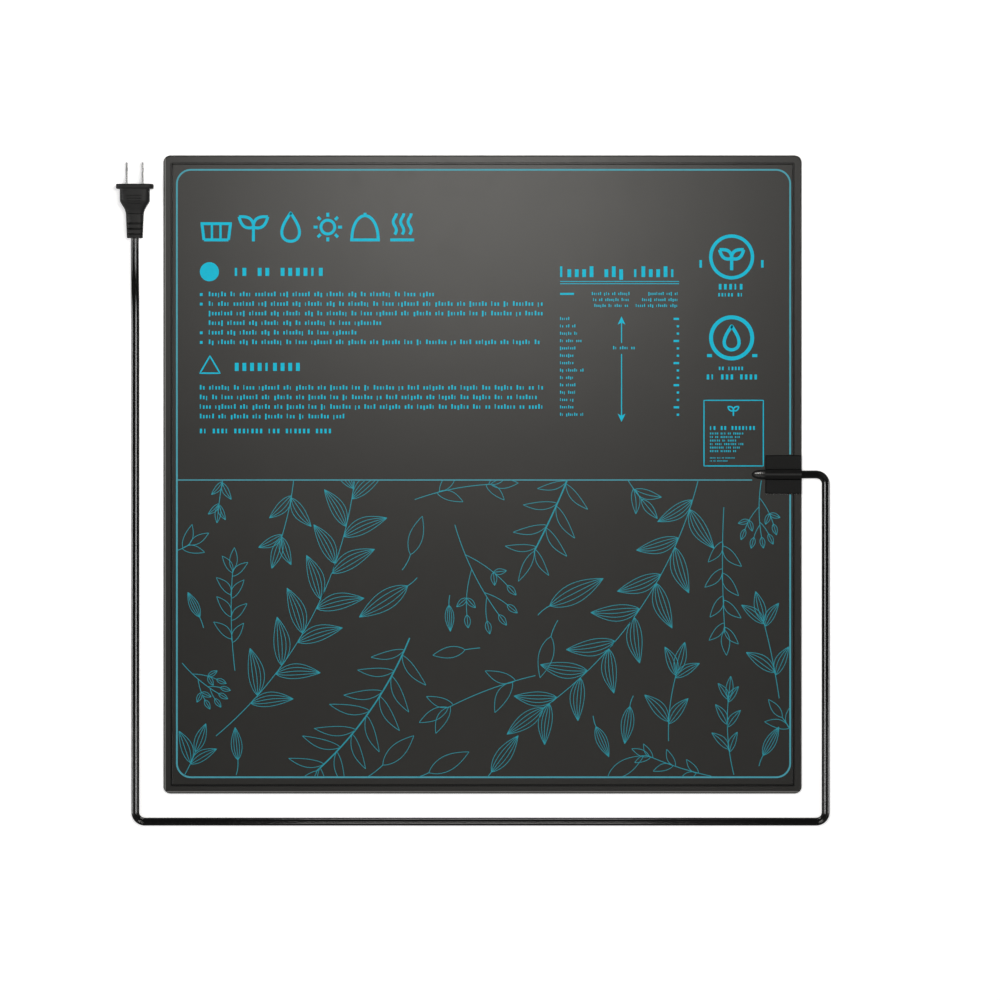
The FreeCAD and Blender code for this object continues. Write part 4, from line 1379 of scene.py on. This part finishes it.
    def marks(self, ink: InkLayer) -> None:
        """Two ringed garden icons and a small framed box of blocks."""
        ink.ring(self.mark_x, 173.1, 16.6, 2.7)
        self.sprout(ink, self.mark_x, 162.5, 19.0, 2.6)
        for x in (173.6, 222.6):
            ink.stroke(2.0, (x, 164.6), (x, 170.6))
        self.words(ink, 188.0, 208.8, 149.4, 4.4, 2, True)
        self.words(ink, 187.6, 208.8, 143.0, 2.7, 5, True)
        ink.ring(self.mark_x, 108.7, 16.4, 3.1)
        self.drop(ink, self.mark_x, 99.2, 19.0, 2.6)
        for x in (180.6, 216.6):
            ink.bar(x - 2.0, x + 2.0, 94.6, 2.4)
        self.words(ink, 188.0, 208.4, 84.4, 2.7, 7, True)
        self.words(ink, 178.4, 219.8, 77.6, 4.0, 8, True)
        ink.frame(RULE_LINE, [(176.2, 59.0), (223.4, 59.0), (223.4, 6.8), (176.2, 6.8)], 12)
        self.sprout(ink, 199.6, 46.6, 8.6, 1.1)
        self.words(ink, 181.0, 218.6, 37.0, 3.0, 1, True)
        for index, y in enumerate(np.linspace(32.6, 18.6, 6)):
            self.words(ink, 181.0, 208.0 - 3.0 * (index % 3), y, 1.5, index, True)
        for index, y in enumerate((13.2, 10.8)):
            self.words(ink, 181.0, 201.0 - 6 * index, y, 1.0, index, True)

    def build(self) -> None:
        """Draw the panel in four layers."""
        layers = (("print_heading", self.heading), ("print_notes", self.notes),
                  ("print_table", self.table), ("print_marks", self.marks))
        for name, drawer in layers:
            ink = InkLayer(name)
            drawer(ink)
            ink.build()


# ---------------------------------------------------------------- clamp


@dataclass
class Boot:
    """The glossy tapered boot over the wires beside the clamp."""

    right: float = 224.95
    length: float = 10.9
    half: float = 3.85
    height: float = 2.2
    level: float = 2.99

    def build(self) -> bpy.types.Object:
        """Half-round rings from the clamp to the tip.

        The half width is full at the clamp and falls as the root of one minus the distance to
        the power 2.6, so the tip is round; the height falls the same way, a little sooner.
        """
        u = np.sin(np.linspace(0.0, 1.0, 26) * math.pi / 2) * 0.998
        wide = self.half * np.sqrt(1.0 - u**2.6)
        tall = self.height * np.sqrt(1.0 - u**2.2)
        turn = np.linspace(0.0, math.pi, 25)
        x = (self.right - self.length * u)[:, None]
        y = wide[:, None] * np.sign(np.cos(turn)) * np.abs(np.cos(turn)) ** 0.9
        z = self.level + tall[:, None] * np.sin(turn) ** 0.9
        piece = Piece("wire_boot_moulding")
        piece.sweep(np.stack(np.broadcast_arrays(x, y, z), axis=-1))
        return piece.build(Finish.BOOT, "boot_black", ("wire_boot",), smooth=60.0)


# ---------------------------------------------------------------- plug


@dataclass
class PlugShell:
    """The plug's outer moulding, carried as rounded sections from its face to its tail."""

    x: float = -276.3
    front: float = 230.7
    level: float = 8.35
    around: int = 64
    cuts: tuple = (30.8, 35.1, 39.4)
    cut_width: float = 1.3
    cut_depth: float = 1.15
    neck: tuple = (23.3, 0.7)
    neck_depth: float = 0.45
    bridge_half: tuple = (8.8, 4.5)
    fit: float = 0.02

    def stations(self) -> np.ndarray:
        """Distance back from the face, half width, half height and squareness at each section."""
        keys = np.array(
            [
                (0.00, 14.25, 7.70, 5.0), (0.15, 14.60, 8.05, 5.0), (0.60, 14.85, 8.30, 5.0),
                (3.10, 14.85, 8.30, 5.0), (3.55, 14.60, 8.05, 5.0), (3.70, 14.20, 7.65, 5.0),
                (3.72, 11.95, 6.80, 4.6), (4.40, 11.85, 6.70, 4.6), (9.00, 11.85, 6.70, 4.4),
                (13.2, 11.80, 6.68, 4.2), (14.4, 11.45, 6.55, 4.0), (16.2, 10.35, 6.20, 3.8),
                (18.4, 9.00, 5.75, 3.6), (20.4, 7.95, 5.25, 3.5), (22.4, 7.30, 4.92, 3.4),
                (24.2, 7.06, 4.78, 3.4), (30.0, 6.84, 4.60, 3.4), (42.0, 6.34, 4.24, 3.4),
                (42.7, 6.20, 4.10, 3.4), (42.9, 5.90, 3.80, 3.4),
            ]
        )
        walls = [self.groove_stops(start, self.cut_width) for start in self.cuts]
        walls.append(self.groove_stops(*self.neck))
        back = np.unique(np.concatenate([keys[:, 0], *walls, np.linspace(4.4, 24.2, 34)]))
        rows = np.stack([np.interp(back, keys[:, 0], keys[:, k]) for k in (1, 2, 3)], axis=1)
        cuts = sum(self.groove(back, start, self.cut_width) for start in self.cuts)
        rows[:, 1] -= cuts * self.cut_depth + self.groove(back, *self.neck) * self.neck_depth
        return np.column_stack([back, rows])

    def circle(self) -> tuple[np.ndarray, np.ndarray]:
        """Cosines and sines of the turns at which a section has its points."""
        turn = np.linspace(0.0, 2 * math.pi, self.around, endpoint=False) + math.pi / self.around
        return np.cos(turn), np.sin(turn)

    @staticmethod
    def groove_stops(start: float, width: float) -> np.ndarray:
        """Where sections are needed to draw a groove's walls."""
        return start + width * np.array([0.0, 0.12, 0.24, 0.76, 0.88, 1.0])

    @staticmethod
    def groove(back: np.ndarray, start: float, width: float) -> np.ndarray:
        """Depth of a groove from 0 to 1: a flat floor between two steep walls."""
        edge = 0.24 * width
        return np.clip(np.minimum(back - start, start + width - back) / edge, 0.0, 1.0)

    def rings(self, rows: np.ndarray) -> np.ndarray:
        """Superellipse sections: a cosine and a sine, each to the power 2 / squareness."""
        cos, sin = self.circle()
        power = 2.0 / rows[:, 3:4]
        x = rows[:, 1:2] * np.sign(cos) * np.abs(cos) ** power
        z = rows[:, 2:3] * np.sign(sin) * np.abs(sin) ** power
        y = np.broadcast_to(-rows[:, 0:1], x.shape)
        return np.stack([x + self.x, y + self.front, z + self.level], axis=-1)

    def seat(self) -> np.ndarray:
        """Rings of the recess in the face that the blade bridge sits in, deepest first."""
        cos, sin = self.circle()
        half_x, half_z = (half + self.fit for half in self.bridge_half)
        x = half_x * np.clip(cos * 1.5, -1.0, 1.0) + self.x
        z = half_z * np.clip(sin * 1.5, -1.0, 1.0) + self.level
        deep = np.array([[12.05], [11.9], [0.15], [0.0]])
        return np.stack(np.broadcast_arrays(x, self.front - deep, z), axis=-1)

    def build(self) -> bpy.types.Object:
        """One closed skin: recess floor, recess, face, sides and tail."""
        rings = np.concatenate([self.seat(), self.rings(self.stations())])
        piece = Piece("plug_moulding")
        piece.sweep(rings)
        return piece.build(Finish.PLUG, "plug_grey", ("plug_body",), smooth=40.0)

    def ribs(self) -> bpy.types.Object:
        """Four low grip ribs across each flat side: half-round bars with tapered ends."""
        piece = Piece("plug_grip_ribs")
        along = np.linspace(-1.0, 1.0, 21)[:, None]
        turn = np.linspace(0.0, 2 * math.pi, 12, endpoint=False)
        taper = np.sqrt(np.clip(1.0 - np.abs(along) ** 6, 0.02, 1.0))
        x = self.x + 6.3 * along
        for side in (-1.0, 1.0):
            for back in (9.4, 11.5, 13.6, 15.7):
                surface = float(np.interp(back, [9.0, 14.4, 16.2], [6.70, 6.55, 6.20]))
                y = self.front - back + 0.42 * taper * np.cos(turn)
                z = self.level + side * (surface - 0.12 + 0.60 * taper * np.sin(turn))
                piece.sweep(np.stack(np.broadcast_arrays(x, y, z), axis=-1))
        return piece.build(Finish.PLUG, "plug_grey", smooth=60.0)


# ---------------------------------------------------------------- the solids that stay


CAD_FINISHES = {
    Finish.CLAMP: ("clamp_upper", "clamp_lower"),
    Finish.POTTING: ("potting_block",),
    Finish.FOAM: ("foam_core",),
    Finish.FILM: ("carrier_film",),
    Finish.FOIL: ("heat_spreader_foil",),
    Finish.SILICONE: ("heating_wire",),
    Finish.ALLOY: ("heating_wire_core",),
    Finish.COPPER: ("live_crimp", "neutral_crimp", "live_strands", "neutral_strands",
                    "live_plug_strands", "neutral_plug_strands"),
    Finish.SLEEVE: ("live_crimp_sleeve", "neutral_crimp_sleeve"),
    Finish.LIVE: ("live_lead", "live_plug_lead"),
    Finish.NEUTRAL: ("neutral_lead", "neutral_plug_lead"),
    Finish.BRIDGE: ("plug_bridge",),
    Finish.BLADE: ("live_blade", "neutral_blade"),
}


def dress_solids() -> None:
    """Give every CAD solid that stays its own finish."""
    for finish, nodes in CAD_FINISHES.items():
        for name in nodes:
            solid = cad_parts[name]
            for slot in solid.material_slots:
                slot.material = finish.material()
            LOG.info("%s: %s", name, finish.value.name)


def main() -> None:
    """Build the studio, then the cord and plug, the pad, its print and its clamp."""
    logging.basicConfig(level=logging.INFO, format="%(message)s")
    Studio().build()
    shell = PlugShell()
    plug = [shell.build(), shell.ribs()]
    inner = ["plug_bridge", "live_blade", "neutral_blade", "live_plug_lead", "neutral_plug_lead",
             "live_plug_strands", "neutral_plug_strands"]
    FlatCord().build(plug + [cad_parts[name] for name in inner])
    upper_sheet().build(Finish.SHEET, "sheet_grey", "top_sheet")
    lower_sheet().build(Finish.UNDERSIDE, "sheet_grey", "bottom_sheet")
    Border().build()
    Panel().build()
    Boot().build()
    dress_solids()


if __name__ == "__main__":
    main()
